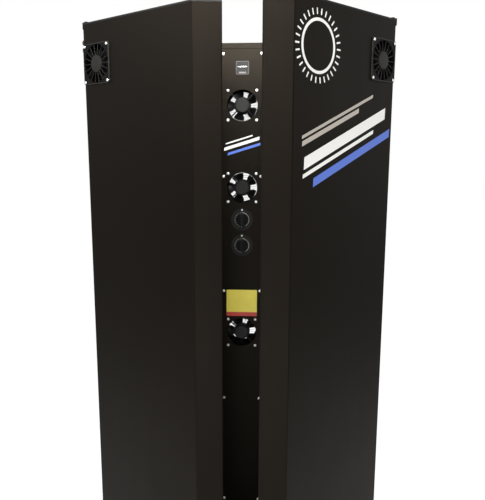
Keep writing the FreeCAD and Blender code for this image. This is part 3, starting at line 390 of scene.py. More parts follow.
enamel, enamel_place, enamel_shader = finish("ballast_enamel", (0.72, 0.71, 0.68), 0.35)
enamel_cloud = enamel_place.noise(0.02, 3)
feed(enamel_cloud.tint((0.66, 0.65, 0.62), (0.76, 0.755, 0.73)), enamel_shader, "Base Color")
emboss(enamel_place.noise(0.003, 1), enamel_shader, 0.00008)
print("metals done")

# %% Lamp glass
CAP_LENGTH = 14 * MM
HEATED = 8 * CAP_LENGTH     # how far the glass is darkened from each end
lamp_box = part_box("rear_lamps")
door_lamp_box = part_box("right_door_lamps")


def lamp_glass(name, low, high):
    """White coated glass, with a metal cap at each end of its length."""
    material, place, shader = finish(name, (0.82, 0.81, 0.84), 0.16)
    height = place.axis("Z")
    cap = (height < low + CAP_LENGTH) + (height > high - CAP_LENGTH)
    heat = 1 - height.ramp(low, low + HEATED) + height.ramp(high - HEATED, high)
    cloud = place.noise(0.05, 3)
    glass = (heat * (0.35 + cloud * 0.4)).tint((0.83, 0.82, 0.86), (0.5, 0.49, 0.5))
    feed(cap.tint(glass, (0.6, 0.6, 0.6)), shader, "Base Color")
    feed(cap, shader, "Metallic")
    feed(0.14 + cap * 0.2 + cloud * 0.05, shader, "Roughness")
    return material


rear_lamp_glass = lamp_glass("lamp_tube", lamp_box[0].z, lamp_box[1].z)
door_lamp_glass = lamp_glass("door_lamp_tube", door_lamp_box[0].z, door_lamp_box[1].z)
print("lamps from", round(lamp_box[0].z, 4), "to", round(lamp_box[1].z, 4))

# %% [markdown]
# ### Clear plastic
# The lamps stand behind clear acrylic sheets. Acrylic lets the light pass, with a faint
# haze of fine scratches that shows in its roughness.

# %% Clear plastic
def clear_sheet(name, tint, rough):
    material, place, shader = finish(name, tint, rough, IOR=1.49, Transmission_Weight=1.0)
    scratches = place.stretched(1, 1, 0.15).noise(0.004, 4)
    feed(rough * 0.6 + scratches * rough * 0.8, shader, "Roughness")
    return material


clear_acrylic = clear_sheet("clear_acrylic", (0.93, 0.96, 0.97), 0.06)
meter_glass = clear_sheet("meter_window", (0.95, 0.96, 0.97), 0.02)

# %% [markdown]
# ### Floor mat and information plate
# The mat is ribbed rubber: a wave across the booth is squeezed into ribs by a ramp. The
# plate is yellow plastic with a plain red band at its foot, found by height.

# %% Mat and plate
RIB_PITCH = 6 * MM
mat_rubber, mat_place, mat_shader = finish("mat_rubber", (0.02, 0.02, 0.021), 0.7)
rib = (mat_place.axis("X") * (2 * math.pi / RIB_PITCH)).maths("SINE").ramp(-0.4, 0.6)
mat_cloud = mat_place.noise(0.09, 4)
mat_mask = mat_cloud * 0.6 + rib * 0.3
feed(mat_mask.tint((0.012, 0.012, 0.0125), (0.045, 0.043, 0.041)), mat_shader, "Base Color")
feed(0.78 - rib * 0.15 - mat_cloud * 0.1, mat_shader, "Roughness")
emboss(rib, mat_shader, 0.0012)

RED_BAND = 16 * MM
plate_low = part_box("info_plate")[0]
yellow_plate, plate_place, plate_shader = finish("yellow_label", (0.86, 0.72, 0.08), 0.4)
plate_cloud = plate_place.noise(0.02, 4)
plate_yellow = plate_cloud.tint((0.8, 0.66, 0.06), (0.9, 0.77, 0.1))
plate_red = plate_cloud.tint((0.5, 0.03, 0.02), (0.62, 0.05, 0.03))
band = plate_place.axis("Z") < plate_low.z + RED_BAND
feed(band.tint(plate_yellow, plate_red), plate_shader, "Base Color")
feed(0.34 + plate_cloud * 0.14, plate_shader, "Roughness")
emboss(plate_place.noise(0.002, 1), plate_shader, 0.00003)
print("plate at", tuple(round(value, 4) for value in plate_low))

# %% [markdown]
# ## Finishes on the frame
# The frame's record names a material slot for every node. Each slot gets its finish here
# in one loop. Nodes that need another one of the same family are put right after it.

# %% Dress every node of the frame
SLOT_FINISH = {
    "black_powder_coat": black_coat, "black_plastic": fan_plastic,
    "fan_rotor_plastic": rotor_plastic, "reflector": reflector,
    "lamp_tube": rear_lamp_glass, "lamp_holder": lamp_holder,
    "clear_acrylic": clear_acrylic, "ballast_steel": enamel, "base_paint": base_coat,
    "mat_rubber": mat_rubber, "foot_rubber": foot_rubber, "edge_rubber": edge_rubber,
    "zinc_plate": zinc, "bright_screw": bright_screw, "meter_window": meter_glass,
    "drum_print": drum_white, "knob_plastic": knob_plastic, "dial_print": dial_print,
    "yellow_label": yellow_plate, "grey_plastic": grey_plastic,
}
node_slot = {part["node"]: part["material_slot"] for part in frame["record"]["subparts"]}


def coat(node, material):
    """Give a node of the frame its finish."""
    piece = frame["nodes"][node]
    piece.data.materials.clear()
    piece.data.materials.append(material)


for node, slot in node_slot.items():
    coat(node, SLOT_FINISH[slot])
for node in node_slot:
    if node.startswith("column_") and node_slot[node] == "black_powder_coat":
        coat(node, column_coat)
for node in ("left_door_lamps", "right_door_lamps"):
    coat(node, door_lamp_glass)
print("dressed", len(node_slot), "nodes")

# %% [markdown]
# ## Tools for modelling
# The next cells hold a few hand tools: selecting, bevelled blocks, turned pieces, rings,
# folded sheets and cutting. Each piece is modelled flat on the table, with Z out of the
# face it belongs to, and then put in its place on the booth. A face's own axes are X to
# the right, Y up and Z out.

# %% A face's own axes
UP = Vector((0, 0, 1))


def at(x, y, z=0.0):
    return Matrix.Translation((x, y, z))


def spin(degrees, axis="Z"):
    return Matrix.Rotation(math.radians(degrees), 4, axis)


def all_round(count, first=0):
    """Even turns about the Z axis, the first at an angle in degrees."""
    return [spin(first + 360 / count * index) for index in range(count)]


def face_frame(origin, out):
    """Axes on an upright face: X to the right, Y up, and Z out of it."""
    out = Vector(out).normalized()
    axes = Matrix((UP.cross(out), UP, out)).transposed().to_4x4()
    return Matrix.Translation(origin) @ axes


def on_face(face, x, y, out=0.0, turn=0.0):
    """A place on a face, turned by an angle in degrees about the way out of it."""
    return face @ at(x, y, out) @ spin(turn)


def span(node, face):
    """A node's lowest and highest corner, measured along a face's own axes."""
    back = face.inverted()
    points = [back @ vertex.co for vertex in frame["nodes"][node].data.vertices]
    low = Vector(min(point[axis] for point in points) for axis in range(3))
    high = Vector(max(point[axis] for point in points) for axis in range(3))
    return low, high


def plan_corners(node, face, level, clear=0.0):
    """The corners of a node's flat side at one height, as (x, out), without doubles.

    Points nearer to the face's upright axis than the clear distance are left out.
    """
    back = face.inverted()
    found = {}
    for vertex in frame["nodes"][node].data.vertices:
        point = back @ vertex.co
        if abs(point.y - level) < 1e-5 and math.hypot(point.x, point.z) > clear:
            found[round(point.x / MM, 1), round(point.z / MM, 1)] = (point.x, point.z)
    return list(found.values())


def solids(node):
    """The low and high corners of each separate solid in a node."""
    mesh = bmesh.new()
    mesh.from_mesh(frame["nodes"][node].data)
    bmesh.ops.remove_doubles(mesh, verts=mesh.verts, dist=1e-6)
    left, boxes = set(mesh.verts), []
    while left:
        island, border = set(), [left.pop()]
        while border:
            vertex = border.pop()
            island.add(vertex)
            near = [edge.other_vert(vertex) for edge in vertex.link_edges]
            border += [other for other in near if other in left]
            left.difference_update(near)
        boxes.append([Vector(end(vertex.co[axis] for vertex in island) for axis in range(3))
                      for end in (min, max)])
    mesh.free()
    return boxes


FRONT = (0, -1, 0)
BACK = (0, 1, 0)
column_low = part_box("column_front_panel")[0]
column = face_frame((0, column_low.y, 0), FRONT)
print("column face at y", round(column_low.y, 4))

# %% Selecting
def only(piece):
    """Select one object and nothing else."""
    bpy.ops.object.select_all(action="DESELECT")
    piece.select_set(True)
    bpy.context.view_layer.objects.active = piece


def edit(piece):
    """Edit mode, picking edges: a bare ring has no face that could be picked."""
    only(piece)
    bpy.ops.object.mode_set(mode="EDIT")
    bpy.ops.mesh.select_mode(type="EDGE")


def leave():
    bpy.ops.object.mode_set(mode="OBJECT")


def pick(kind, test):
    """In edit mode, select the edges or faces that pass a test, and nothing else."""
    bpy.ops.mesh.select_mode(type=kind)
    bpy.ops.mesh.select_all(action="DESELECT")
    mesh = bmesh.from_edit_mesh(bpy.context.object.data)
    for item in {"EDGE": mesh.edges, "FACE": mesh.faces}[kind]:
        if test(item):
            item.select_set(True)
    bmesh.update_edit_mesh(bpy.context.object.data)


def runs(axis):
    """A test for edges that run along an axis: 0 for X, 1 for Y, 2 for Z."""
    return lambda edge: abs((edge.verts[0].co - edge.verts[1].co).normalized()[axis]) > 0.99


def above(axis, level):
    """A test for edges that lie at a level of an axis or above it, all along."""
    return lambda edge: min(vertex.co[axis] for vertex in edge.verts) > level - 1e-5


def face_outwards(merge=False):
    """Turn all faces outwards and leave edit mode. Doubles are merged before, if asked."""
    bpy.ops.mesh.select_all(action="SELECT")
    if merge:
        bpy.ops.mesh.remove_doubles(threshold=1e-6)
    bpy.ops.mesh.normals_make_consistent(inside=False)
    leave()

# %% Starting, joining and finishing
def settle(name):
    """Name the active object, and put its place in its mesh."""
    piece = bpy.context.object
    piece.name = name
    piece.data.name = name
    bpy.ops.object.transform_apply(location=True, rotation=True, scale=True)
    return piece


def start(name, primitive, where=None, **settings):
    """Add a primitive while nothing else is selected, and move it where it belongs."""
    bpy.ops.object.select_all(action="DESELECT")
    primitive(**settings)
    if where:
        bpy.context.object.matrix_world = where
    return settle(name)


def place(piece, where):
    """Put a piece where it belongs, with its place in its mesh."""
    piece.data.transform(where)
    piece.data.update()
    return piece


def copy_to(piece, where, name):
    """A copy of a piece at another place, with its own mesh."""
    copy = piece.copy()
    copy.data = piece.data.copy()
    copy.name = name
    copy.data.name = name
    scene.collection.objects.link(copy)
    return place(copy, where)


def join(name, pieces):
    """Make one object of several."""
    only(pieces[0])
    for piece in pieces:
        piece.select_set(True)
    bpy.ops.object.join()
    joined = bpy.context.object
    joined.name = name
    joined.data.name = name
    return joined


def repeat(name, piece, places):
    """Copies of one piece at several places, as one object."""
    made = [copy_to(piece, where, name) for where in places]
    bpy.data.objects.remove(piece)
    return join(name, made)


def shape(piece, kind, **settings):
    """Add a modifier with its settings, and apply it."""
    only(piece)
    change = piece.modifiers.new(kind.lower(), kind)
    for key, value in settings.items():
        setattr(change, key, value)
    bpy.ops.object.modifier_apply(modifier=change.name)
    return piece


def carve(piece, cutter, operation="DIFFERENCE"):
    """Cut a piece with another, which is used up."""
    shape(piece, "BOOLEAN", operation=operation, object=cutter, solver="EXACT")
    bpy.data.objects.remove(cutter)
    return piece


def smooth(piece, angle=35):
    """Shade round surfaces smoothly, and keep flat ones flat up to their bevels."""
    only(piece)
    bpy.ops.object.shade_smooth_by_angle(angle=math.radians(angle))
    return shape(piece, "WEIGHTED_NORMAL", keep_sharp=True)


def dress(piece, material, body, slot, *nodes):
    """Give a finished piece its finish and its body, and hide the frame's nodes that it stands for."""
    if material:
        piece.data.materials.clear()
        piece.data.materials.append(material)
    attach(piece, body)
    if nodes:
        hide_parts(*nodes)
    print(piece.name, len(piece.data.polygons), "faces")

# %% Blocks, turned pieces and rings
def block(name, low, high, rounding=0.0, steps=2, test=None):
    """A block between two corners. The edges that pass the test are bevelled."""
    low, high = Vector(low), Vector(high)
    piece = start(name, bpy.ops.mesh.primitive_cube_add, size=1, location=(low + high) / 2,
                  scale=high - low)
    if rounding:
        bevel(piece, rounding, steps, test or (lambda edge: True))
    return piece


def bevel(piece, rounding, steps, test):
    """Round the edges of a piece that pass a test."""
    edit(piece)
    pick("EDGE", test)
    bpy.ops.mesh.bevel(offset=rounding, segments=steps, affect="EDGES")
    leave()
    return piece


def mm(*points):
    """Points whose numbers are millimetres."""
    return [tuple(number * MM for number in point) for point in points]


def lathe(name, profile, sides, fill):
    """A circle, extruded and scaled through the (radius, height) points of a profile."""
    radius, height = profile[0]
    piece = start(name, bpy.ops.mesh.primitive_circle_add, vertices=sides, radius=radius,
                  fill_type=fill, location=(0, 0, height))
    edit(piece)
    bpy.ops.mesh.select_all(action="SELECT")
    for (radius, height), (next_radius, next_height) in zip(profile, profile[1:]):
        step = (0, 0, next_height - height)
        bpy.ops.mesh.extrude_region_move(TRANSFORM_OT_translate={"value": step})
        scale = next_radius / radius
        bpy.ops.transform.resize(value=(scale, scale, 1), center_override=(0, 0, next_height))
    face_outwards(merge=fill == "NOTHING")
    return piece


def turned(name, profile, sides=32):
    """A solid piece, closed at both ends. Its profile goes from the bottom up."""
    return lathe(name, profile, sides, "NGON")


def hoop(name, section, sides=64):
    """A ring. Its section goes all the way round, and closes on its first point."""
    return lathe(name, [*section, section[0]], sides, "NOTHING")


def drill(piece, radius, low, high, spots=((0, 0),), sides=16):
    """Cut round holes through a piece, whose faces are at the low and the high level."""
    for x, y in spots:
        bit = turned("bit", [(radius, low - MM), (radius, high + MM)], sides)
        carve(piece, place(bit, at(x, y)))
    return piece


def square_ring(name, outer, inner, low, high, rounding):
    """A flat square ring with rounded corners."""
    ring = block(name, (-outer, -outer, low), (outer, outer, high), rounding, 4, runs(2))
    hollow = block("hollow", (-inner, -inner, low - MM), (inner, inner, high + MM),
                   rounding - (outer - inner) * 0.5, 4, runs(2))
    return carve(ring, hollow)


def wire_ring(name, radius, thick, sides=64):
    """A ring of round wire."""
    section = [(radius + thick * math.cos(step * math.pi / 3),
                thick * math.sin(step * math.pi / 3)) for step in range(6)]
    return hoop(name, section, sides)

# %% Folded sheets
SHEET = 1.5 * MM
FOLD = 2.5 * MM


def folded(name, line, low, high, closed=False):
    """A sheet that stands on a plan line. The line is (x, out), and Y is up.

    Walking along it, the sheet's face is on the right.
    """
    corners = [Vector((x, 0, out)) for x, out in line]
    run = corners[1] - corners[0]
    middle = (corners[0] + corners[1]) / 2 + Vector((0, (low + high) / 2, 0))
    up = Vector((0, high - low, 0))
    axes = Matrix((run, up, run.normalized().cross(up.normalized()))).transposed().to_4x4()
    piece = start(name, bpy.ops.mesh.primitive_plane_add, Matrix.Translation(middle) @ axes,
                  size=1)
    edit(piece)
    end = corners[1]
    pick("EDGE", lambda edge: all(math.hypot(vertex.co.x - end.x, vertex.co.z - end.z) < 1e-6
                                  for vertex in edge.verts))
    stops = corners[1:] + corners[:1] if closed else corners[1:]
    for corner, following in zip(stops, stops[1:]):
        step = following - corner
        bpy.ops.mesh.extrude_region_move(TRANSFORM_OT_translate={"value": step})
    bpy.ops.mesh.select_all(action="SELECT")
    bpy.ops.mesh.remove_doubles(threshold=1e-6)
    leave()
    return piece


def is_fold(edge):
    """A test for upright edges between two faces."""
    return runs(1)(edge) and len(edge.link_faces) == 2


def sheet_metal(name, line, low, high):
    """A folded sheet with rounded folds and its thickness behind its face."""
    piece = folded(name, line, low, high)
    bevel(piece, FOLD, 3, is_fold)
    return shape(piece, "SOLIDIFY", thickness=SHEET, offset=-1)


def post(name, line, low, high, ends):
    """An upright bar whose plan is the closed line, with a lid at each of the end levels."""
    piece = folded(name, line, low, high, closed=True)
    edit(piece)
    for level in ends:
        pick("EDGE", lambda edge: all(abs(vertex.co.y - level) < 1e-6
                                      for vertex in edge.verts))
        bpy.ops.mesh.edge_face_add()
    face_outwards()
    return piece


def mirror_line(line, side):
    """A plan line for the right side, or its mirror image for the left one."""
    return line if side > 0 else [(-x, out) for x, out in reversed(line)]

# %% [markdown]
# ## Doors
# A door is one sheet folded round its lamps: a wide facet, a bent facet at its free edge,
# and the returns behind. It is modelled as it is made. A strip as tall as the door is
# extruded fold by fold, the folds are rounded, the strip gets its thickness, and the
# round hole for the fan is cut. All of it is measured from the door's pivot.

# %% Door plan
SIDES = {"left": -1, "right": 1}
FLANGE = 15 * MM
LIP = 5 * MM
SEAM = 0.4 * MM
PIN_CLEAR = 11 * MM         # what is nearer to the pivot belongs to its bush
DEPTH_WEIGHT = 9            # how much more depth counts than width, to tell corners apart
door_faces = {}
for word, side in SIDES.items():
    pivot = Vector(joints[f"{word}_door_swing"]["pos_m"])
    door_faces[word] = face_frame((pivot.x, pivot.y, 0), joints[f"{word}_door_fan_spin"]["axis"])

cap_low, cap_high = span("right_door_end_caps", door_faces["right"])
outline = plan_corners("right_door_end_caps", door_faces["right"], cap_high.y, PIN_CLEAR)
# The rearmost and the foremost corners, of which the sign picks the left or right one.
HEEL, BACK_CORNER = [min(outline, key=lambda corner: corner[1] * DEPTH_WEIGHT + sign * corner[0])
                     for sign in (1, -1)]
BEND, CORNER = [max(outline, key=lambda corner: corner[1] * DEPTH_WEIGHT + sign * corner[0])
                for sign in (-1, 1)]
NOSE = min(outline)
door_line = [(HEEL[0] + FLANGE, HEEL[1]), HEEL, NOSE, BEND, CORNER, BACK_CORNER,
             (BACK_CORNER[0] - FLANGE, BACK_CORNER[1])]
print("door plan in mm:", [(round(x / MM, 1), round(out / MM, 1)) for x, out in door_line])

# %% Door skins
FAN_HOLE = 56 * MM
DOOR_FAN_DEPTH = 26 * MM    # from a door's face to the joint of its fan
HOLE_REACH = 20 * MM
fan_faces = {}
for word, side in SIDES.items():
    joint = joints[f"{word}_door_fan_spin"]
    out = Vector(joint["axis"])
    fan_faces[word] = face_frame(Vector(joint["pos_m"]) + out * DOOR_FAN_DEPTH, out)
    skin = sheet_metal(f"{word}_door_sheet", mirror_line(door_line, side),
                       cap_low.y + SHEET, cap_high.y - LIP - SEAM)
    place(skin, door_faces[word])
    hole = turned("fan_hole", [(FAN_HOLE, -HOLE_REACH), (FAN_HOLE, HOLE_REACH)], 64)
    carve(skin, place(hole, fan_faces[word]))
    smooth(skin, 30)
    dress(skin, black_coat, f"{word}_door", "black_powder_coat", f"{word}_door_skin")

# %% Door end caps
# Each cap is a tray: a low wall on the door's outline, with a lid over it.
BUSH = 6.2 * MM
BUSH_BORE = 4.05 * MM
BUSH_LENGTH = 22 * MM
BUSH_SUNK = 0.2 * MM


def door_cap(name, side, level, lip_end):
    """A lid at one height of a door, with a lip towards the other height."""
    low, high = sorted((level, lip_end))
    outline = mirror_line([HEEL, NOSE, BEND, CORNER, BACK_CORNER], side)
    cap = post(name, outline, low, high, [level])
    bevel(cap, 0.8 * MM, 2, lambda edge: len(edge.link_faces) == 2)
    return shape(cap, "SOLIDIFY", thickness=SHEET, offset=-1)


cap_metal = moulded("door_cap_coat", (0.0062, 0.0056, 0.005), 0.5, 0.25)
for word, side in SIDES.items():
    top = door_cap("cap_top", side, cap_high.y, cap_high.y - LIP)
    bottom = door_cap("cap_bottom", side, cap_low.y, cap_low.y + SHEET - SEAM)
    bush = hoop("pin_bush", [(BUSH, 0), (BUSH, BUSH_LENGTH), (BUSH_BORE, BUSH_LENGTH),
                             (BUSH_BORE, 0)], 24)
    bushes = repeat("pin_bushes", bush, [at(0, cap_high.y - BUSH_SUNK) @ spin(90, "X"),
                                         at(0, cap_low.y + BUSH_SUNK) @ spin(-90, "X")])
    caps = join(f"{word}_door_caps", [top, bottom, bushes])
    smooth(place(caps, door_faces[word]), 30)
    dress(caps, cap_metal, f"{word}_door", "black_powder_coat", f"{word}_door_end_caps")

# %% [markdown]
# ### Rubber edges
# Where the doors meet, each carries a rubber strip with a rounded bead, so that they
# close softly. Its section is drawn as a low arch on the door's end face and extruded
# up the door.

# %% Rubber edges
gasket_low, gasket_high = span("right_door_gasket", door_faces["right"])
gasket_foot = plan_corners("right_door_gasket", door_faces["right"], gasket_high.y)
end_along = (Vector(HEEL) - Vector(NOSE)).normalized()
end_out = Vector((end_along.y, -end_along.x))
reach = [(Vector(corner) - Vector(NOSE)).dot(end_along) for corner in gasket_foot]
thick = max((Vector(corner) - Vector(NOSE)).dot(end_out) for corner in gasket_foot)
ARCH_STEPS = 10
ARCH_FULLNESS = 0.4         # below 1, the arch is fuller than a half circle
gasket_line = []
for step in range(ARCH_STEPS + 1):
    turn = math.pi * step / ARCH_STEPS
    width = (max(reach) + min(reach)) / 2 - (max(reach) - min(reach)) / 2 * math.cos(turn)
    rise = thick * math.sin(turn) ** ARCH_FULLNESS if 0 < step < ARCH_STEPS else 0
    gasket_line.append(tuple(Vector(NOSE) + end_along * width + end_out * rise))
gasket_line.reverse()
print("rubber edge", round(thick / MM, 2), "mm thick")
for word, side in SIDES.items():
    levels = (gasket_low.y, gasket_high.y)
    strip = post(f"{word}_door_rubber", mirror_line(gasket_line, side), *levels, levels)
    smooth(place(strip, door_faces[word]), 40)
    dress(strip, edge_rubber, f"{word}_door", "edge_rubber", f"{word}_door_gasket")

# %% [markdown]
# ## Cabinets at the back
# Each cabinet is folded the same way, from its jamb round the outside to the column. The
# two glands on the left one cover the holes that their threads pass through.

# %% Cabinet skins
skin_low, skin_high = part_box("rear_skin_right")
JAMB_INNER = (426.33 * MM, -15.3 * MM)     # inner edge of the jamb, as (x, out)
SIDE_BACK = -100 * MM
REAR_HALF = 140 * MM
COLUMN_FACE = 291 * MM
WINDOW_TURN = math.atan2(COLUMN_FACE + JAMB_INNER[1], JAMB_INNER[0] - skin_low.x)
flange_step = (FLANGE * math.cos(WINDOW_TURN), FLANGE * math.sin(WINDOW_TURN))
cabinet_line = [
    (JAMB_INNER[0] - flange_step[0], JAMB_INNER[1] - flange_step[1]),
    JAMB_INNER,
    (skin_high.x, -skin_low.y),
    (skin_high.x, SIDE_BACK),
    (REAR_HALF, -skin_high.y),
    (skin_low.x, -skin_high.y),
    (skin_low.x, -column_low.y),
    (skin_low.x + flange_step[0], -column_low.y + flange_step[1]),
]
plan = face_frame((0, 0, 0), FRONT)
for word, side in SIDES.items():
    skin = sheet_metal(f"{word}_cabinet_sheet", mirror_line(cabinet_line, side), skin_low.z,
                       skin_high.z)
    smooth(place(skin, plan), 30)
    dress(skin, black_coat, "cabinet", "black_powder_coat", f"rear_skin_{word}")

# %% [markdown]
# ## Column
# The column's panel is a flat plate, so the frame's own node stays. Its top rail is a cap
# with a rounded lip down the front, extruded across the column.

# %% Top rail
rail_low, rail_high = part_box("column_top_rail")
rail = block("column_rail_cap", (rail_low.x, rail_low.y, rail_high.z - SHEET),
             (rail_high.x, rail_high.y, rail_high.z))
lip = block("rail_lip", (rail_low.x, rail_low.y, rail_low.z),
            (rail_high.x, rail_low.y + SHEET, rail_high.z), 1.2 * MM, 4,
            lambda edge: runs(0)(edge)
            and sum(vertex.co.y for vertex in edge.verts) / 2 < rail_low.y + 0.1 * MM)
rail = join("column_rail_cap", [rail, lip])
smooth(rail)
dress(rail, column_coat, "cabinet", "black_powder_coat", "column_top_rail")

# %% [markdown]
# ## Fans
# All five fans are the same size: a moulded duct with a flange at each end, thin struts
# that carry the motor cup, and a rotor with five blades. Each part is modelled once, with
# Z out of the fan's front, and copied to the five places.

# %% Flanges, duct and motor
FAN_HALF = 59.5 * MM
FAN_DEPTH = 38 * MM
BORE = 56.5 * MM
MOTOR = 25 * MM
HUB = 31 * MM
SCREW_PITCH = 104.8 * MM
SCREW_HOLE = 2.2 * MM
FAN_FLANGE = 4 * MM
STRUT = 4.5 * MM
BOSS = 4.6 * MM
fan_corners = [(x * SCREW_PITCH / 2, y * SCREW_PITCH / 2) for x in (-1, 1) for y in (-1, 1)]
at_corners = [at(x, y) for x, y in fan_corners]


def fan_flanges():
    """Both flanges, with the struts in front and a boss round each screw."""
    back = -FAN_DEPTH
    flanges = []
    for low, high in ((-FAN_FLANGE, 0), (back, back + FAN_FLANGE)):
        flange = block("flange", (-FAN_HALF, -FAN_HALF, low), (FAN_HALF, FAN_HALF, high),
                       6 * MM, 4, runs(2))
        drill(flange, BORE + 0.6 * MM, low, high, sides=64)
        flanges.append(drill(flange, SCREW_HOLE, low, high, fan_corners))
    strut = block("strut", (MOTOR - MM, -STRUT / 2, -FAN_FLANGE),
                  (BORE + MM, STRUT / 2, -0.4 * MM), 0.7 * MM, 2, runs(0))
    struts = repeat("struts", strut, all_round(4, 45))
    boss = turned("boss", [(BOSS, back + FAN_FLANGE), (BOSS, -FAN_FLANGE)], 20)
    bosses = repeat("bosses", boss, at_corners)
    return smooth(join("fan_flanges", [*flanges, struts, bosses]))


def fan_duct():
    back = -FAN_DEPTH
    return smooth(hoop("duct", [
        (BORE + 1.5 * MM, 0), (BORE + 0.4 * MM, -0.6 * MM), (BORE, -2 * MM),
        (BORE, back + 2 * MM), (BORE + 0.4 * MM, back + 0.6 * MM), (BORE + 1.5 * MM, back),
        (BORE + 2.4 * MM, back), (BORE + 2.4 * MM, 0)], 72))


def motor_cup():
    return smooth(turned("motor_cup", [
        (MOTOR - MM, -12 * MM), (MOTOR, -11 * MM), (MOTOR, -1.4 * MM),
        (MOTOR - 0.4 * MM, -0.4 * MM), (MOTOR - 1.2 * MM, 0), (MOTOR - 2.2 * MM, 0),
        (MOTOR - 2.6 * MM, -0.6 * MM)], 48))


BODY_FAN_DEPTH = 24.5 * MM      # from the front of a body fan to its joint
BODY_FANS = ("upper", "middle", "lower")
fan_places = {}
for word in BODY_FANS:
    joint = joints[f"{word}_body_fan_spin"]
    axis = Vector(joint["axis"])
    fan_places[word] = face_frame(Vector(joint["pos_m"]) + axis * BODY_FAN_DEPTH, axis)
for word in SIDES:
    fan_places[f"{word}_door"] = fan_faces[word] @ at(0, 0, -SHEET)
print("fans at heights", [round(fan.translation.z, 4) for fan in fan_places.values()])

fan_parts = [("flanges", fan_flanges(), fan_plastic), ("duct", fan_duct(), duct_plastic),
             ("motor", motor_cup(), motor_plastic)]
for part, model, material in fan_parts:
    for word, where in fan_places.items():
        on_door = word.endswith("door")
        node = f"{word}_fan_frame" if on_door else f"body_fan_frame_{word}"
        piece = copy_to(model, where, f"{word}_fan_{part}")
        dress(piece, material, word if on_door else "cabinet", "black_plastic", node)
    bpy.data.objects.remove(model)

# %% [markdown]
# ### Rotor
# A blade is a curved plate that is steep at its root and nearly flat at its tip, where it
# is wide and covers most of the duct. It is folded as a strip with a shallow arch, divided
# along its length, and twisted by the Simple Deform modifier. It is then trimmed to the
# rotor's depth and round its tip, so that it just clears the duct.

# %% Fan rotor
BLADES = 5
FIRST_BLADE = -52       # degrees from the X axis
TIP = 54.2 * MM
ROTOR_FRONT = -12.5 * MM
ROTOR_DEPTH = 24 * MM
BLADE_STEPS = 5         # folds on each side of a blade's middle, and cuts along it
BLADE_STEP = 4.3 * MM
BLADE_RISE = 2.4 * MM
BLADE_TWIST = -33
BLADE_TILT = 82
AXLE_HOLE = 3.1 * MM


def fan_blade():
    """One blade of the rotor, which reaches along Y from the hub to the tip."""
    arch = [(step * BLADE_STEP, BLADE_RISE * (1 - (step / BLADE_STEPS) ** 2))
            for step in range(-BLADE_STEPS, BLADE_STEPS + 1)]
    blade = folded("blade", arch, HUB - 2 * MM, TIP + 2 * MM)
    edit(blade)
    pick("EDGE", runs(1))
    bpy.ops.mesh.subdivide(number_cuts=BLADE_STEPS)
    leave()
    shape(blade, "SIMPLE_DEFORM", deform_method="TWIST", deform_axis="Y",
          angle=math.radians(BLADE_TWIST))
    shape(blade, "SOLIDIFY", thickness=1.8 * MM, offset=0)
    place(blade, at(0, 0, ROTOR_FRONT - ROTOR_DEPTH / 2) @ spin(BLADE_TILT, "Y"))
    tip_ring = turned("tip", [(TIP, ROTOR_FRONT - ROTOR_DEPTH + 0.4 * MM),
                              (TIP, ROTOR_FRONT - 0.4 * MM)], 64)
    return carve(blade, tip_ring, "INTERSECT")


def fan_rotor():
    back = ROTOR_FRONT - ROTOR_DEPTH
    hub = hoop("hub", [(AXLE_HOLE, ROTOR_FRONT), (HUB - MM, ROTOR_FRONT),
                       (HUB, ROTOR_FRONT - MM), (HUB, back + 2 * MM),
                       (HUB - 2 * MM, back), (10 * MM, back), (9 * MM, back + 1.2 * MM),
                       (AXLE_HOLE, back + 1.2 * MM)], 48)
    blades = repeat("blades", fan_blade(), all_round(BLADES, FIRST_BLADE))
    return smooth(join("fan_rotor", [hub, blades]), 40)


rotor_model = fan_rotor()
for word, where in fan_places.items():
    body = f"{word}_fan_rotor" if word.endswith("door") else f"body_fan_rotor_{word}"
    piece = copy_to(rotor_model, where, f"{word}_fan_blades")
    dress(piece, rotor_plastic, body, "fan_rotor_plastic", body)
bpy.data.objects.remove(rotor_model)

# %% [markdown]
# ### Door fan guards
# A guard is one plastic moulding, in three pieces here, because its raised parts are paler:
# the border as a painted highlight on its raised edge, the disc and spokes in paler grey.
# They are a rounded square rim with its hole, the border round it, and the disc in the
# middle with thin spokes. One spoke is modelled and copied round.

# %% Fan guards
SPOKES = 18
DISC = 25 * MM
GUARD = 4 * MM
GUARD_CORNER = 7 * MM
BORDER = 2 * MM


def guard_rim():
    half = FAN_HALF - 0.2 * MM
    rim = block("rim", (-half, -half, 0), (half, half, GUARD - 0.9 * MM), GUARD_CORNER, 5,
                runs(2))
    drill(rim, FAN_HOLE, 0, GUARD, sides=72)
    drill(rim, SCREW_HOLE, 0, GUARD, fan_corners)
    lip = hoop("opening_lip", [
        (FAN_HOLE - 0.6 * MM, 0), (FAN_HOLE - 0.6 * MM, 2.6 * MM),
        (FAN_HOLE, GUARD - 0.5 * MM), (FAN_HOLE + 1.2 * MM, GUARD - 0.5 * MM),
        (FAN_HOLE + 1.6 * MM, 2.4 * MM), (FAN_HOLE + 1.6 * MM, 0)], 72)
    seat = turned("seat", [(5.4 * MM, GUARD - 1.5 * MM), (5.4 * MM, GUARD - 0.2 * MM),
                           (5 * MM, GUARD)], 28)
    return smooth(join("guard_rim", [rim, lip, repeat("seats", seat, at_corners)]))


def guard_border():
    border = square_ring("guard_border", FAN_HALF, FAN_HALF - BORDER, 0.1 * MM, GUARD,
                         GUARD_CORNER)
    bevel(border, 0.4 * MM, 2, above(2, GUARD))
    return smooth(border)


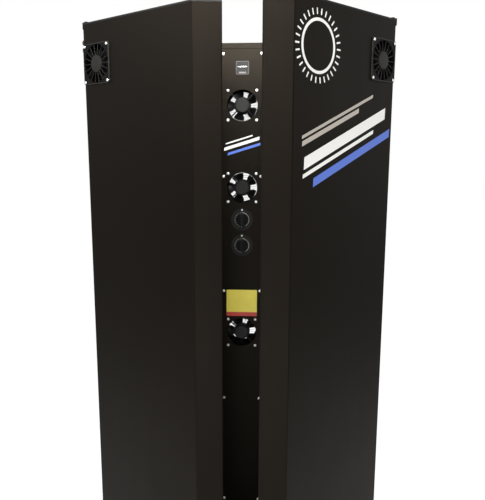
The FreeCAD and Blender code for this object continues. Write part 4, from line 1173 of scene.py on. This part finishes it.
def guard_face():
    disc = turned("disc", [(DISC, 0), (DISC, 2.4 * MM), (DISC - 1.2 * MM, 3.4 * MM),
                           (DISC * 0.7, 3.8 * MM), (DISC * 0.35, GUARD),
                           (DISC * 0.08, GUARD)], 48)
    spoke = block("spoke", (DISC - MM, -MM, 0), (FAN_HOLE + MM, MM, 2.4 * MM),
                  0.6 * MM, 2, lambda edge: runs(0)(edge) and edge.verts[0].co.z > MM)
    return smooth(join("guard_face", [disc, repeat("spokes", spoke, all_round(SPOKES))]))


guard_pieces = [("rim", guard_rim(), fan_plastic), ("border", guard_border(), border_highlight_plastic),
                ("face", guard_face(), guard_plastic)]
for part, model, material in guard_pieces:
    for word in SIDES:
        piece = copy_to(model, fan_faces[word], f"{word}_door_guard_{part}")
        dress(piece, material, f"{word}_door", "black_plastic", f"{word}_door_fan_guard")
    bpy.data.objects.remove(model)

# %% [markdown]
# ## Screws
# Pan-head screws with a cross recess hold the column's panels, the fans and the guards.
# One head is turned, a cross is cut in it, and copies go to every place. They stand at
# different angles, as screws do. The angles come from a fixed list, so they never change.

# %% Screws
screw_low, screw_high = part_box("column_screws")
guard_screw_high = span("right_door_fan_screws", fan_faces["right"])[1]
ROW_X = 69.35 * MM
HEAD_SPREAD = 1.08      # a pressed head is a little wider than its plain solid
SCREW_TURNS = [12, 77, 140, 33, 95, 58, 166, 8, 121, 49]


def screw(radius, height, length):
    """A pan-head screw with a cross recess. Its head stands on Z = 0."""
    head = turned("screw", [(2 * MM, -length), (2 * MM, 0), (radius * 0.96, 0),
                            (radius, height * 0.2), (radius, height * 0.4),
                            (radius * 0.9, height * 0.75), (radius * 0.66, height * 0.95),
                            (radius * 0.3, height)], 24)
    for turn in (0, 90):
        slot = block("slot", (-radius * 0.55, -0.45 * MM, height - 1.3 * MM),
                     (radius * 0.55, 0.45 * MM, height + MM))
        carve(head, place(slot, spin(turn)))
    return smooth(head, 40)


def panel_screw():
    return screw((screw_high.x - ROW_X) * HEAD_SPREAD, column_low.y - screw_low.y, 8 * MM)


def guard_screw():
    return screw(guard_screw_high.x - SCREW_PITCH / 2, guard_screw_high.z - GUARD, 12 * MM)


def screw_turn(index):
    return SCREW_TURNS[index % len(SCREW_TURNS)]

# %% Screws in their places
FIRST_ROW = 2063.4 * MM
LAST_ROW = 315.4 * MM
ROW_STEPS = 4
LOWER_PLATE_ROW = 263 * MM
rows = [FIRST_ROW + (LAST_ROW - FIRST_ROW) * row / ROW_STEPS for row in range(ROW_STEPS + 1)]
spots = [(x, z) for z in [*rows, LOWER_PLATE_ROW] for x in (-ROW_X, ROW_X)]
for word in BODY_FANS:
    height = fan_places[word].translation.z
    spots += [(x, height + y) for x, y in fan_corners]
column_screws = repeat("column_screw_heads", panel_screw(),
                       [on_face(column, x, z, 0, screw_turn(index))
                        for index, (x, z) in enumerate(spots)])
dress(column_screws, bright_screw, "cabinet", "bright_screw", "column_screws")
for word in SIDES:
    where = [on_face(fan_faces[word], x, y, GUARD, screw_turn(index + 3))
             for index, (x, y) in enumerate(fan_corners)]
    guard_screws = repeat(f"{word}_door_guard_screws", guard_screw(), where)
    dress(guard_screws, bright_screw, f"{word}_door", "bright_screw",
          f"{word}_door_fan_screws")

# %% [markdown]
# ## Hour meter
# A round meter behind a square bezel counts the lamps' hours on six number drums. The
# bezel's rim is inset and its face let in, a slot is cut for the drums, and the digits
# are plain text, laid on the drums by the Shrinkwrap modifier.

# %% Hour meter case
case_low, case_high = span("hour_meter_case", column)
drum_low, drum_high = span("hour_meter_drums", column)
window_low, window_high = span("hour_meter_window", column)
meter_y = (case_low.y + case_high.y) / 2
METER_HALF = (case_high.x - case_low.x) / 2
BEZEL = case_high.z
meter = on_face(column, 0, meter_y)
FACE_DEPTH = 1.1 * MM
WINDOW_HALF = 2.7 * MM
window_y = (window_low.y + window_high.y) / 2 - meter_y


def meter_case():
    bezel = block("bezel", (-METER_HALF, -METER_HALF, 0), (METER_HALF, METER_HALF, BEZEL),
                  4 * MM, 3, runs(2))
    bevel(bezel, 0.7 * MM, 2, above(2, BEZEL))
    edit(bezel)
    pick("FACE", lambda face: face.normal.z > 0.99)
    bpy.ops.mesh.inset(thickness=2.5 * MM)
    bpy.ops.mesh.inset(thickness=0.6 * MM, depth=-FACE_DEPTH)
    leave()
    slot = block("slot", (window_low.x - 0.1 * MM, window_y - WINDOW_HALF, drum_low.z - 2 * MM),
                 (window_high.x + 0.1 * MM, window_y + WINDOW_HALF, BEZEL + MM))
    carve(bezel, slot)
    barrel = turned("barrel", [(20 * MM, case_low.z), (22.4 * MM, case_low.z + 2 * MM),
                               (22.4 * MM, drum_low.z - 3 * MM)], 48)
    return smooth(join("hour_meter_body", [bezel, barrel]))


case = place(meter_case(), meter)
dress(case, guard_plastic, "cabinet", "black_plastic", "hour_meter_case")

# %% Hour meter rim and window
# The pale grey ring along the bezel's edge is a painted highlight of the lit edge.
rim = square_ring("hour_meter_rim", METER_HALF - 0.9 * MM, METER_HALF - 3 * MM,
                  BEZEL - 0.5 * MM, BEZEL + 0.05 * MM, 3 * MM)
rim_painted_highlight = moulded("meter_rim_painted_highlight", (0.1, 0.093, 0.085), 0.45)
dress(smooth(place(rim, meter)), rim_painted_highlight, "cabinet", "grey_plastic")

glass_half = WINDOW_HALF - 0.1 * MM
window = block("hour_meter_glass", (window_low.x, window_y - glass_half, window_low.z),
               (window_high.x, window_y + glass_half, window_high.z), 0.2 * MM, 2)
dress(smooth(place(window, meter)), meter_glass, "cabinet", "meter_window", "hour_meter_window")

# %% Hour meter drums and label
DRUM_PITCH = 5.4 * MM
DRUM = (drum_high.y - drum_low.y) / 2
drum_y, drum_out = (drum_low.y + drum_high.y) / 2, (drum_low.z + drum_high.z) / 2
READING = "002418"
DIGIT_SIZE = 6 * MM
drum_spots = [(index - (len(READING) - 1) / 2) * DRUM_PITCH for index in range(len(READING))]
drum_places = [column @ at(x, drum_y, drum_out) @ spin(90, "Y") for x in drum_spots]
drum = turned("drum", [(DRUM - 0.3 * MM, -2.5 * MM), (DRUM, -2.2 * MM), (DRUM, 2.2 * MM),
                       (DRUM - 0.3 * MM, 2.5 * MM)], 40)
drums = smooth(repeat("hour_meter_rollers", drum, drum_places), 40)
dress(drums, drum_white, "cabinet", "drum_print", "hour_meter_drums")

digits = []
for x, digit in zip(drum_spots, READING):
    bpy.ops.object.select_all(action="DESELECT")
    bpy.ops.object.text_add()
    text = bpy.context.object
    text.data.body = digit
    text.data.size = DIGIT_SIZE
    text.data.align_x = "CENTER"
    text.data.align_y = "CENTER"
    bpy.ops.object.convert(target="MESH")
    letter = settle("digit")
    edit(letter)
    bpy.ops.mesh.select_all(action="SELECT")
    bpy.ops.mesh.subdivide(number_cuts=2)
    leave()
    place(letter, column @ at(x, drum_y, drum_out + DRUM + MM))
    digits.append(letter)
digits = join("hour_meter_digits", digits)
shape(digits, "SHRINKWRAP", target=drums, wrap_method="NEAREST_SURFACEPOINT",
      wrap_mode="OUTSIDE_SURFACE", offset=0.05 * MM)
dress(digits, drum_ink, "cabinet", "drum_print")

label = block("hour_meter_label", (-13.5 * MM, -19 * MM, BEZEL - FACE_DEPTH),
              (12.5 * MM, -13.6 * MM, BEZEL - FACE_DEPTH + 0.25 * MM), 0.1 * MM, 1)
dress(smooth(place(label, meter)), blank_label, "cabinet", "grey_plastic")

# %% [markdown]
# ## Knobs
# Two timer knobs sit on printed dials. The knob is a turned skirt with a raised grip. The
# dial's marks are thin raised ink: dots up the left side, an arc made by the Spin tool
# down the right side, and one white index dot at the top.

# %% Knobs
KNOB = 22 * MM
KNOB_LOW = 1.5 * MM
KNOB_SKIRT = 5 * MM
GRIP_HALF = (5.5 * MM, 21 * MM)
SHAFT = 3 * MM
SHAFT_LENGTH = 24 * MM


def knob_body(low, high):
    """The skirt of a knob between two levels, on its shaft."""
    base = turned("skirt", [(KNOB - 1.5 * MM, low), (KNOB, low + 0.6 * MM),
                            (KNOB, high - 1.6 * MM), (KNOB - 0.6 * MM, high - 0.6 * MM),
                            (KNOB - 2 * MM, high), (KNOB - 7 * MM, high + 0.4 * MM)], 64)
    shaft = turned("shaft", [(SHAFT, -SHAFT_LENGTH), (SHAFT, low + MM)], 24)
    return smooth(join("knob", [base, shaft]))


def knob_grip(low, high):
    x, y = GRIP_HALF
    grip = block("grip", (-x, -y, low), (x, y, high), 2.4 * MM, 4,
                 lambda edge: runs(2)(edge) or above(2, high)(edge))
    return smooth(grip)


knob_places = []
for word in ("upper", "lower"):
    low, high = span(f"{word}_knob", column)
    where = on_face(column, 0, (low.y + high.y) / 2)
    knob_places.append(where)
    body = place(knob_body(KNOB_LOW, KNOB_LOW + KNOB_SKIRT), where)
    body.name = f"{word}_knob_skirt"
    dress(body, knob_plastic, f"{word}_knob", "knob_plastic", f"{word}_knob")
    grip = place(knob_grip(KNOB_LOW + KNOB_SKIRT - MM, high.z), where)
    grip.name = f"{word}_knob_grip"
    dress(grip, grip_plastic, f"{word}_knob", "knob_plastic")

# %% Dial plates
DIAL = 41 * MM
DIAL_FACE = 1 * MM
MARK_RADIUS = 26.7 * MM
INDEX_RADIUS = 37.2 * MM
DOT_TURNS = range(14, 175, 20)      # degrees from the top, to the left
ARC_TURN = 150                      # degrees from the top, to the right


def dial_marks():
    """Dots on the left, and an arc on the right, round the middle of the dial."""
    dot = turned("dot", [(1.1 * MM, DIAL_FACE - 0.1 * MM), (1.1 * MM, DIAL_FACE + 0.1 * MM),
                         (0.9 * MM, DIAL_FACE + 0.15 * MM)], 12)
    dots = repeat("dots", dot, [spin(turn) @ at(0, MARK_RADIUS) for turn in DOT_TURNS])
    # The arc's section is a small upright plane: 0.8 mm wide, and 0.25 mm along Z.
    section = at(0, MARK_RADIUS, DIAL_FACE) @ Matrix((
        (0, 0, 1, 0), (0.8 * MM, 0, 0, 0), (0, 0.25 * MM, 0, 0), (0, 0, 0, 1)))
    arc = start("arc", bpy.ops.mesh.primitive_plane_add, section, size=1)
    edit(arc)
    bpy.ops.mesh.select_all(action="SELECT")
    bpy.ops.mesh.spin(steps=30, angle=math.radians(ARC_TURN), center=(0, 0, 0),
                      axis=(0, 0, 1))
    face_outwards(merge=True)
    return dots, arc


dials = []
marks = []
for where in knob_places:
    plate = hoop("dial", [(5 * MM, 0), (5 * MM, DIAL_FACE), (DIAL - 0.4 * MM, DIAL_FACE),
                          (DIAL, 0.6 * MM), (DIAL, 0)], 96)
    dials.append(place(plate, where))
    marks += [place(mark, where) for mark in dial_marks()]
    index_dot = turned("index", mm((3.3, 0.9), (3.3, 1.1), (3, 1.2)), 24)
    marks.append(place(index_dot, on_face(where, 0, INDEX_RADIUS)))
dial_plates = smooth(join("dial_plates", dials))
dress(dial_plates, dial_print, "cabinet", "dial_print", "knob_dials")
dial_marks_piece = join("dial_marks", marks)
dress(dial_marks_piece, mark_print, "cabinet", "dial_print")

# %% [markdown]
# ## Information plate
# The plate is bare: yellow with a red band. A real one is pressed from thin plastic, with
# rounded corners and a soft edge, so the block's corners are bevelled first and its front
# edge after.

# %% Information plate
low, high = span("info_plate", column)
plate = block("blank_yellow_plate", low, high, 3 * MM, 4, runs(2))
bevel(plate, 0.3 * MM, 2, above(2, high.z))
dress(smooth(place(plate, column)), yellow_plate, "cabinet", "yellow_label", "info_plate")

# %% [markdown]
# ## Cable glands
# A gland is a hexagonal nut under a domed nut with a rubber seal. The hexagon is a
# six-sided turned piece with a chamfer, and the dome is turned with more sides.

# %% Cable glands
def gland():
    thread = turned("thread", mm((8, -8), (8, 0.2)), 32)
    hexagon = turned("hexagon", mm((10.4, 0), (11, 0.6), (11, 4.2), (10.2, 5)), 6)
    dome = hoop("dome", mm((4, 5), (8.8, 5), (9, 6), (9, 11), (8.2, 14), (6.4, 16.2),
                           (5, 17), (4, 16.6)), 36)
    seal = turned("seal", mm((4.2, 5), (4.2, 15), (2, 15.2)), 24)
    return smooth(join("gland", [thread, hexagon, dome, seal]), 30)


LEFT = (-1, 0, 0)
COVER_OUT = 396 * MM            # outer face of the rear cover
CABINET_SIDE = -470 * MM        # outer face of the left cabinet
SIDE_GLAND_Y = -35.38 * MM
SIDE_GLAND_HEIGHTS = (2024.5 * MM, 2047.5 * MM)
REAR_GLAND_HEIGHT = 170 * MM
gland_places = [face_frame((0, COVER_OUT, REAR_GLAND_HEIGHT), BACK)]
gland_places += [face_frame((CABINET_SIDE, SIDE_GLAND_Y, height), LEFT)
                 for height in SIDE_GLAND_HEIGHTS]
glands = repeat("cable_gland_nuts", gland(), gland_places)
dress(glands, gland_plastic, "cabinet", "black_plastic", "cable_glands")

# %% [markdown]
# ## Base and feet
# The base is a shallow welded tray: a skirt folded round the plan, and a floor over it.
# Each foot is a rubber pad on a steel stem, with a nut under the tray.

# %% Base
base_low, base_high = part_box("base_frame")
base_plan = plan_corners("base_frame", plan, base_high.z)
middle = Vector((0, sum(out for x, out in base_plan) / len(base_plan)))
base_plan.sort(key=lambda corner: math.atan2(corner[1] - middle.y, corner[0]))
WALL = 3 * MM
CORNER_ROUND = 4 * MM
skirt = post("base_tray", base_plan, base_low.z, base_high.z - WALL, ())
bevel(skirt, CORNER_ROUND, 3, is_fold)
shape(skirt, "SOLIDIFY", thickness=WALL, offset=-1)
floor_levels = (base_high.z - WALL, base_high.z)
tray_floor = post("tray_floor", base_plan, *floor_levels, floor_levels)
bevel(tray_floor, CORNER_ROUND, 3, is_fold)
bevel(tray_floor, 0.8 * MM, 2, above(1, base_high.z))
base = smooth(place(join("base_tray", [skirt, tray_floor]), plan), 30)
dress(base, base_coat, "cabinet", "base_paint", "base_frame")

# %% Feet
def foot(height):
    """A rubber pad, and the stem with its nut, up to the underside of the tray."""
    pad = turned("pad", mm((23, 0), (25, 2), (25, 7), (22, 9), (12, 10), (11, 12)), 40)
    stem = turned("stem", [(5 * MM, 8 * MM), (5 * MM, height)], 20)
    nut = turned("nut", mm((8.6, 12), (9.4, 12.8), (9.4, 18.8), (8.6, 19.6)), 6)
    return smooth(pad, 40), smooth(join("stem", [stem, nut]), 30)


foot_spots = [(low + high) / 2 for low, high in solids("levelling_feet")]
foot_places = [at(spot.x, spot.y) for spot in foot_spots]
pad, stem = foot(base_high.z - WALL)
pads = repeat("foot_pads", pad, foot_places)
dress(pads, foot_rubber, "cabinet", "foot_rubber", "levelling_feet")
dress(repeat("foot_stems", stem, foot_places), zinc, "cabinet", "zinc_plate")
print(len(foot_spots), "feet")

# %% [markdown]
# ## Door pivots
# Each door hangs between a pin in a flat bracket on the cabinet's lid and a pin on a
# collar below. The bracket has a folded leaf beside it. Its plates are blocks with their
# edges bevelled, and its eye is turned.

# %% Pivots
ARM_HALF = 7 * MM
ARM_LENGTH = 90 * MM
ARM_PLATE = 3 * MM
LEAF = (7 * MM, 41 * MM)        # where the leaf and its tab begin and end, behind the pivot
LEAF_DROP = 17 * MM
PIN = 4 * MM
PIN_TIP = 3.6 * MM
PIN_REACH = 24 * MM             # how far a pin goes into the door
COLLAR = 9 * MM


def pivot(side):
    """Bracket, pins and collar of one door, measured from its pivot on the floor."""
    lid = cap_high.y + MM
    top = lid + ARM_PLATE
    arm = block("arm", (-ARM_HALF, 0, lid), (ARM_HALF, ARM_LENGTH, top), 0.7 * MM, 2)
    eye = turned("eye", [(ARM_HALF - 0.4 * MM, lid), (ARM_HALF, lid + 0.4 * MM),
                         (ARM_HALF, top - 0.7 * MM), (ARM_HALF - 0.7 * MM, top)], 32)
    pin = turned("pin", [(PIN_TIP, cap_high.y - PIN_REACH),
                         (PIN, cap_high.y - PIN_REACH + MM), (PIN, lid + MM)], 24)
    inner, outer = sorted((side * 12 * MM, side * 15 * MM))
    leaf = block("leaf", (inner, LEAF[0], lid - LEAF_DROP), (outer, LEAF[1], top), 0.8 * MM, 2)
    inner, outer = sorted((side * 6 * MM, side * 14 * MM))
    tab = block("tab", (inner, LEAF[0], lid), (outer, LEAF[1], top), 0.7 * MM, 2)
    collar = turned("collar", [(COLLAR, base_high.z), (COLLAR, cap_low.y - 1.2 * MM),
                               (COLLAR - 0.8 * MM, cap_low.y - 0.3 * MM)], 32)
    lower = turned("lower_pin", [(PIN, base_high.z), (PIN, cap_low.y + PIN_REACH - MM),
                                 (PIN_TIP, cap_low.y + PIN_REACH)], 24)
    return join("pivot", [arm, eye, pin, leaf, tab, collar, lower])


pivots = []
for word, side in SIDES.items():
    origin = door_faces[word].translation
    pivots.append(place(pivot(side), at(origin.x, origin.y)))
hinges = smooth(join("door_hinges", pivots))
dress(hinges, black_coat, "cabinet", "zinc_plate", "door_pivots")

# %% [markdown]
# ## Wire guards at the back
# Behind each body fan the rear cover has a round opening. A guard of welded wire closes
# it: two rings, level wires, each as long as its chord of the circle, and two steep wires
# that cross them. A wire is a turned rod laid on its side.

# %% Wire guards
WIRE = 0.9 * MM
GUARD_RING = 58 * MM
INNER_RING = 26 * MM
WIRE_PITCH = 8.6 * MM
WIRE_ROWS = range(-6, 7)
CROSS_LENGTH = 118 * MM
CROSS_TURN = 62
EYE_SPREAD = 61 * MM / math.sqrt(2)


def rod(name, length, thick):
    """A straight round wire along X, centred."""
    bar = turned(name, [(thick * 0.7, -length / 2), (thick, -length / 2 + thick * 0.4),
                        (thick, length / 2 - thick * 0.4), (thick * 0.7, length / 2)], 8)
    return place(bar, spin(90, "Y"))


def wire_guard():
    rings = [wire_ring("ring", GUARD_RING, 1.3 * MM, 48),
             wire_ring("ring", INNER_RING, WIRE, 36)]
    wires = []
    for row in WIRE_ROWS:
        height = row * WIRE_PITCH
        chord = 2 * math.sqrt(GUARD_RING ** 2 - height ** 2)
        wires.append(place(rod("wire", chord, WIRE), at(0, height)))
    for turn in (-CROSS_TURN, CROSS_TURN):
        cross_wire = rod("cross_wire", CROSS_LENGTH, WIRE)
        wires.append(place(cross_wire, at(0, 0, 2 * WIRE) @ spin(turn)))
    eye = hoop("eye", mm((2.4, -1), (4.4, -1), (4.4, 1), (2.4, 1)), 16)
    eyes = repeat("eyes", eye, [at(x * EYE_SPREAD, y * EYE_SPREAD)
                                for x in (-1, 1) for y in (-1, 1)])
    return smooth(join("wire_guard", [*rings, *wires, eyes]), 50)


guard = wire_guard()
GUARD_OUT = 1.4 * MM
guard_places = [face_frame((0, COVER_OUT + GUARD_OUT, fan_places[word].translation.z), BACK)
                for word in BODY_FANS]
guards = repeat("rear_wire_guards", guard, guard_places)
dress(guards, guard_wire, "cabinet", "zinc_plate")

# %% Rear cover screws
REAR_ROWS = (0.12, 0.45, 0.84, 1.3, 1.73, 2.06)
REAR_ROW_X = 0.071
rear_face = face_frame((0, COVER_OUT, 0), BACK)
rear_spots = [(x, z) for z in REAR_ROWS for x in (-REAR_ROW_X, REAR_ROW_X)]
rear_screws = repeat("rear_cover_screws", panel_screw(),
                     [on_face(rear_face, x, z, 0, screw_turn(index + 1))
                      for index, (x, z) in enumerate(rear_spots)])
dress(rear_screws, bright_screw, "cabinet", "bright_screw")

# %% [markdown]
# ## Lamps and holders
# A lamp is a glass tube with a rounded shoulder and a metal cap at each end, held by a
# white bi-pin holder. The places come from the frame's own solids, so that each copy
# stands exactly where its solid does.

# %% Lamps
def lamp(low, high, radius):
    """A fluorescent tube on the Z axis, with a narrower cap at each end."""
    cap = radius - 0.48 * MM
    tube = turned("tube", [(radius * 0.72, low), (cap, low + 0.6 * MM), (cap, low + CAP_LENGTH),
                           (radius, low + CAP_LENGTH + 3 * MM),
                           (radius, high - CAP_LENGTH - 3 * MM),
                           (cap, high - CAP_LENGTH), (cap, high - 0.6 * MM),
                           (radius * 0.72, high)], 28)
    return smooth(tube, 30)


def lamp_spots(node):
    """The middle of every lamp in a node, seen from above."""
    return sorted({(round((low.x + high.x) / 2, 5), round((low.y + high.y) / 2, 5))
                   for low, high in solids(node)})


LAMP_RADIUS = 19 * MM
for node, body, glass in (("rear_lamps", "cabinet", rear_lamp_glass),
                          ("left_door_lamps", "left_door", door_lamp_glass),
                          ("right_door_lamps", "right_door", door_lamp_glass)):
    low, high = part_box(node)
    spots = lamp_spots(node)
    lamps = repeat(f"{node[:-5]}_tubes", lamp(low.z, high.z, LAMP_RADIUS),
                   [at(x, y) for x, y in spots])
    dress(lamps, glass, body, "lamp_tube", node)
    print(node, len(spots), "lamps")

# %% Lamp holders
def holder(width, reach, depth, height):
    """A holder with its foot at the back, a rounded front and a slot for the pins.

    X is across, Y is away from the cabin, and the lamp stands on Z = 0.
    """
    body = block("holder", (-width / 2, -reach, -height), (width / 2, depth, 0), 2.4 * MM, 3,
                 lambda edge: runs(2)(edge) and edge.verts[0].co.y < 0)
    slot = block("slot", (-1.4 * MM, -reach - MM, -4 * MM), (1.4 * MM, 4 * MM, MM))
    carve(body, slot)
    bevel(body, 0.5 * MM, 1, lambda edge: runs(0)(edge) and edge.verts[0].co.y > 0)
    return smooth(body, 30)


def holder_places(lamp_node, face_turn):
    """A place under and over each lamp, turned with the lamps' unit."""
    low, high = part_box(lamp_node)
    places = []
    for x, y in lamp_spots(lamp_node):
        turn = Matrix.Rotation(face_turn(x), 4, "Z")
        places.append(at(x, y, low.z) @ turn)
        places.append(at(x, y, high.z) @ turn @ spin(180, "Y"))
    return places


def row_turn(spots):
    """The turn of a row of lamps about the upright axis, from its first and last lamp."""
    return math.atan2(spots[-1][1] - spots[0][1], spots[-1][0] - spots[0][0])


HOLDER = (22 * MM, 12 * MM, 25.5 * MM, 16 * MM)     # width, reach, depth and height
rear_turn = row_turn([spot for spot in lamp_spots("rear_lamps") if spot[0] > 0])
unit_turns = {
    "rear": lambda x: rear_turn if x > 0 else -rear_turn,
    "left_door": lambda x: row_turn(lamp_spots("left_door_lamps")) + math.pi,
    "right_door": lambda x: row_turn(lamp_spots("right_door_lamps")) + math.pi,
}
for unit, turn in unit_turns.items():
    body = "cabinet" if unit == "rear" else unit
    holders = repeat(f"{unit}_holders", holder(*HOLDER), holder_places(f"{unit}_lamps", turn))
    dress(holders, lamp_holder, body, "lamp_holder", f"{unit}_lamp_holders")

# %% [markdown]
# ## Plain decoration
# The right door and the column carry cut vinyl. These are plain stripes and a plain ring
# of ticks: flat shapes a fraction of a millimetre thick. A stripe is a block sheared by
# moving its upper edge, and the ring is turned.

# %% Stripes
VINYL = 0.25 * MM
LEAN = 0.45             # how far a stripe's ends lean, as a share of its width
DOOR_SLOPE = 21.5       # degrees
COLUMN_SLOPE = 17
door_art = fan_faces["right"] @ at(-150 * MM, -250 * MM) @ spin(DOOR_SLOPE)
column_art = on_face(column, 0, 1738 * MM, 0, COLUMN_SLOPE)
# Each row of numbers is a stripe: its left and right end and its lower and upper edge, in mm.
STRIPES = [
    ("door_stripes_grey", vinyl_grey, [(-190, 150, 92, 100), (-196, 70, 74, 86)]),
    ("door_stripes_white", vinyl_white, [(-210, 190, 14, 44), (-222, 120, -6, 4)]),
    ("door_stripes_blue", vinyl_blue, [(-190, 196, -44, -22)]),
    ("column_stripes_white", vinyl_white, [(-58, 46, 22, 27), (-70, 66, 2, 13)]),
    ("column_stripes_blue", vinyl_blue, [(-62, 64, -18, -9)]),
]


def stripe(left, right, low, high):
    """A level stripe with slanted ends."""
    piece = block("stripe", (left * MM, low * MM, 0), (right * MM, high * MM, VINYL))
    edit(piece)
    pick("FACE", lambda face: face.normal.y > 0.9)
    bpy.ops.transform.translate(value=((high - low) * MM * LEAN, 0, 0))
    leave()
    return piece


for name, material, rows in STRIPES:
    on_door = name.startswith("door")
    piece = join(name, [stripe(*row) for row in rows])
    place(piece, door_art if on_door else column_art)
    dress(piece, material, "right_door" if on_door else "cabinet", "drum_print")

# %% Ring of ticks
RING = (62 * MM, 70 * MM)       # inner and outer radius
TICK = (78 * MM, 94 * MM)
TICK_HALF = 2.2 * MM
TICKS = 30
ring_face = fan_faces["right"] @ at(-300.5 * MM, 5 * MM)
band_ring = hoop("ring", [(RING[0], 0), (RING[0], VINYL), (RING[1], VINYL), (RING[1], 0)], 96)
tick = block("tick", (TICK[0], -TICK_HALF, 0), (TICK[1], TICK_HALF, VINYL), 1.4 * MM, 3,
             runs(2))
ticks = repeat("ticks", tick, all_round(TICKS))
ring = place(join("door_ring_of_ticks", [band_ring, ticks]), ring_face)
dress(ring, vinyl_white, "right_door", "drum_print")
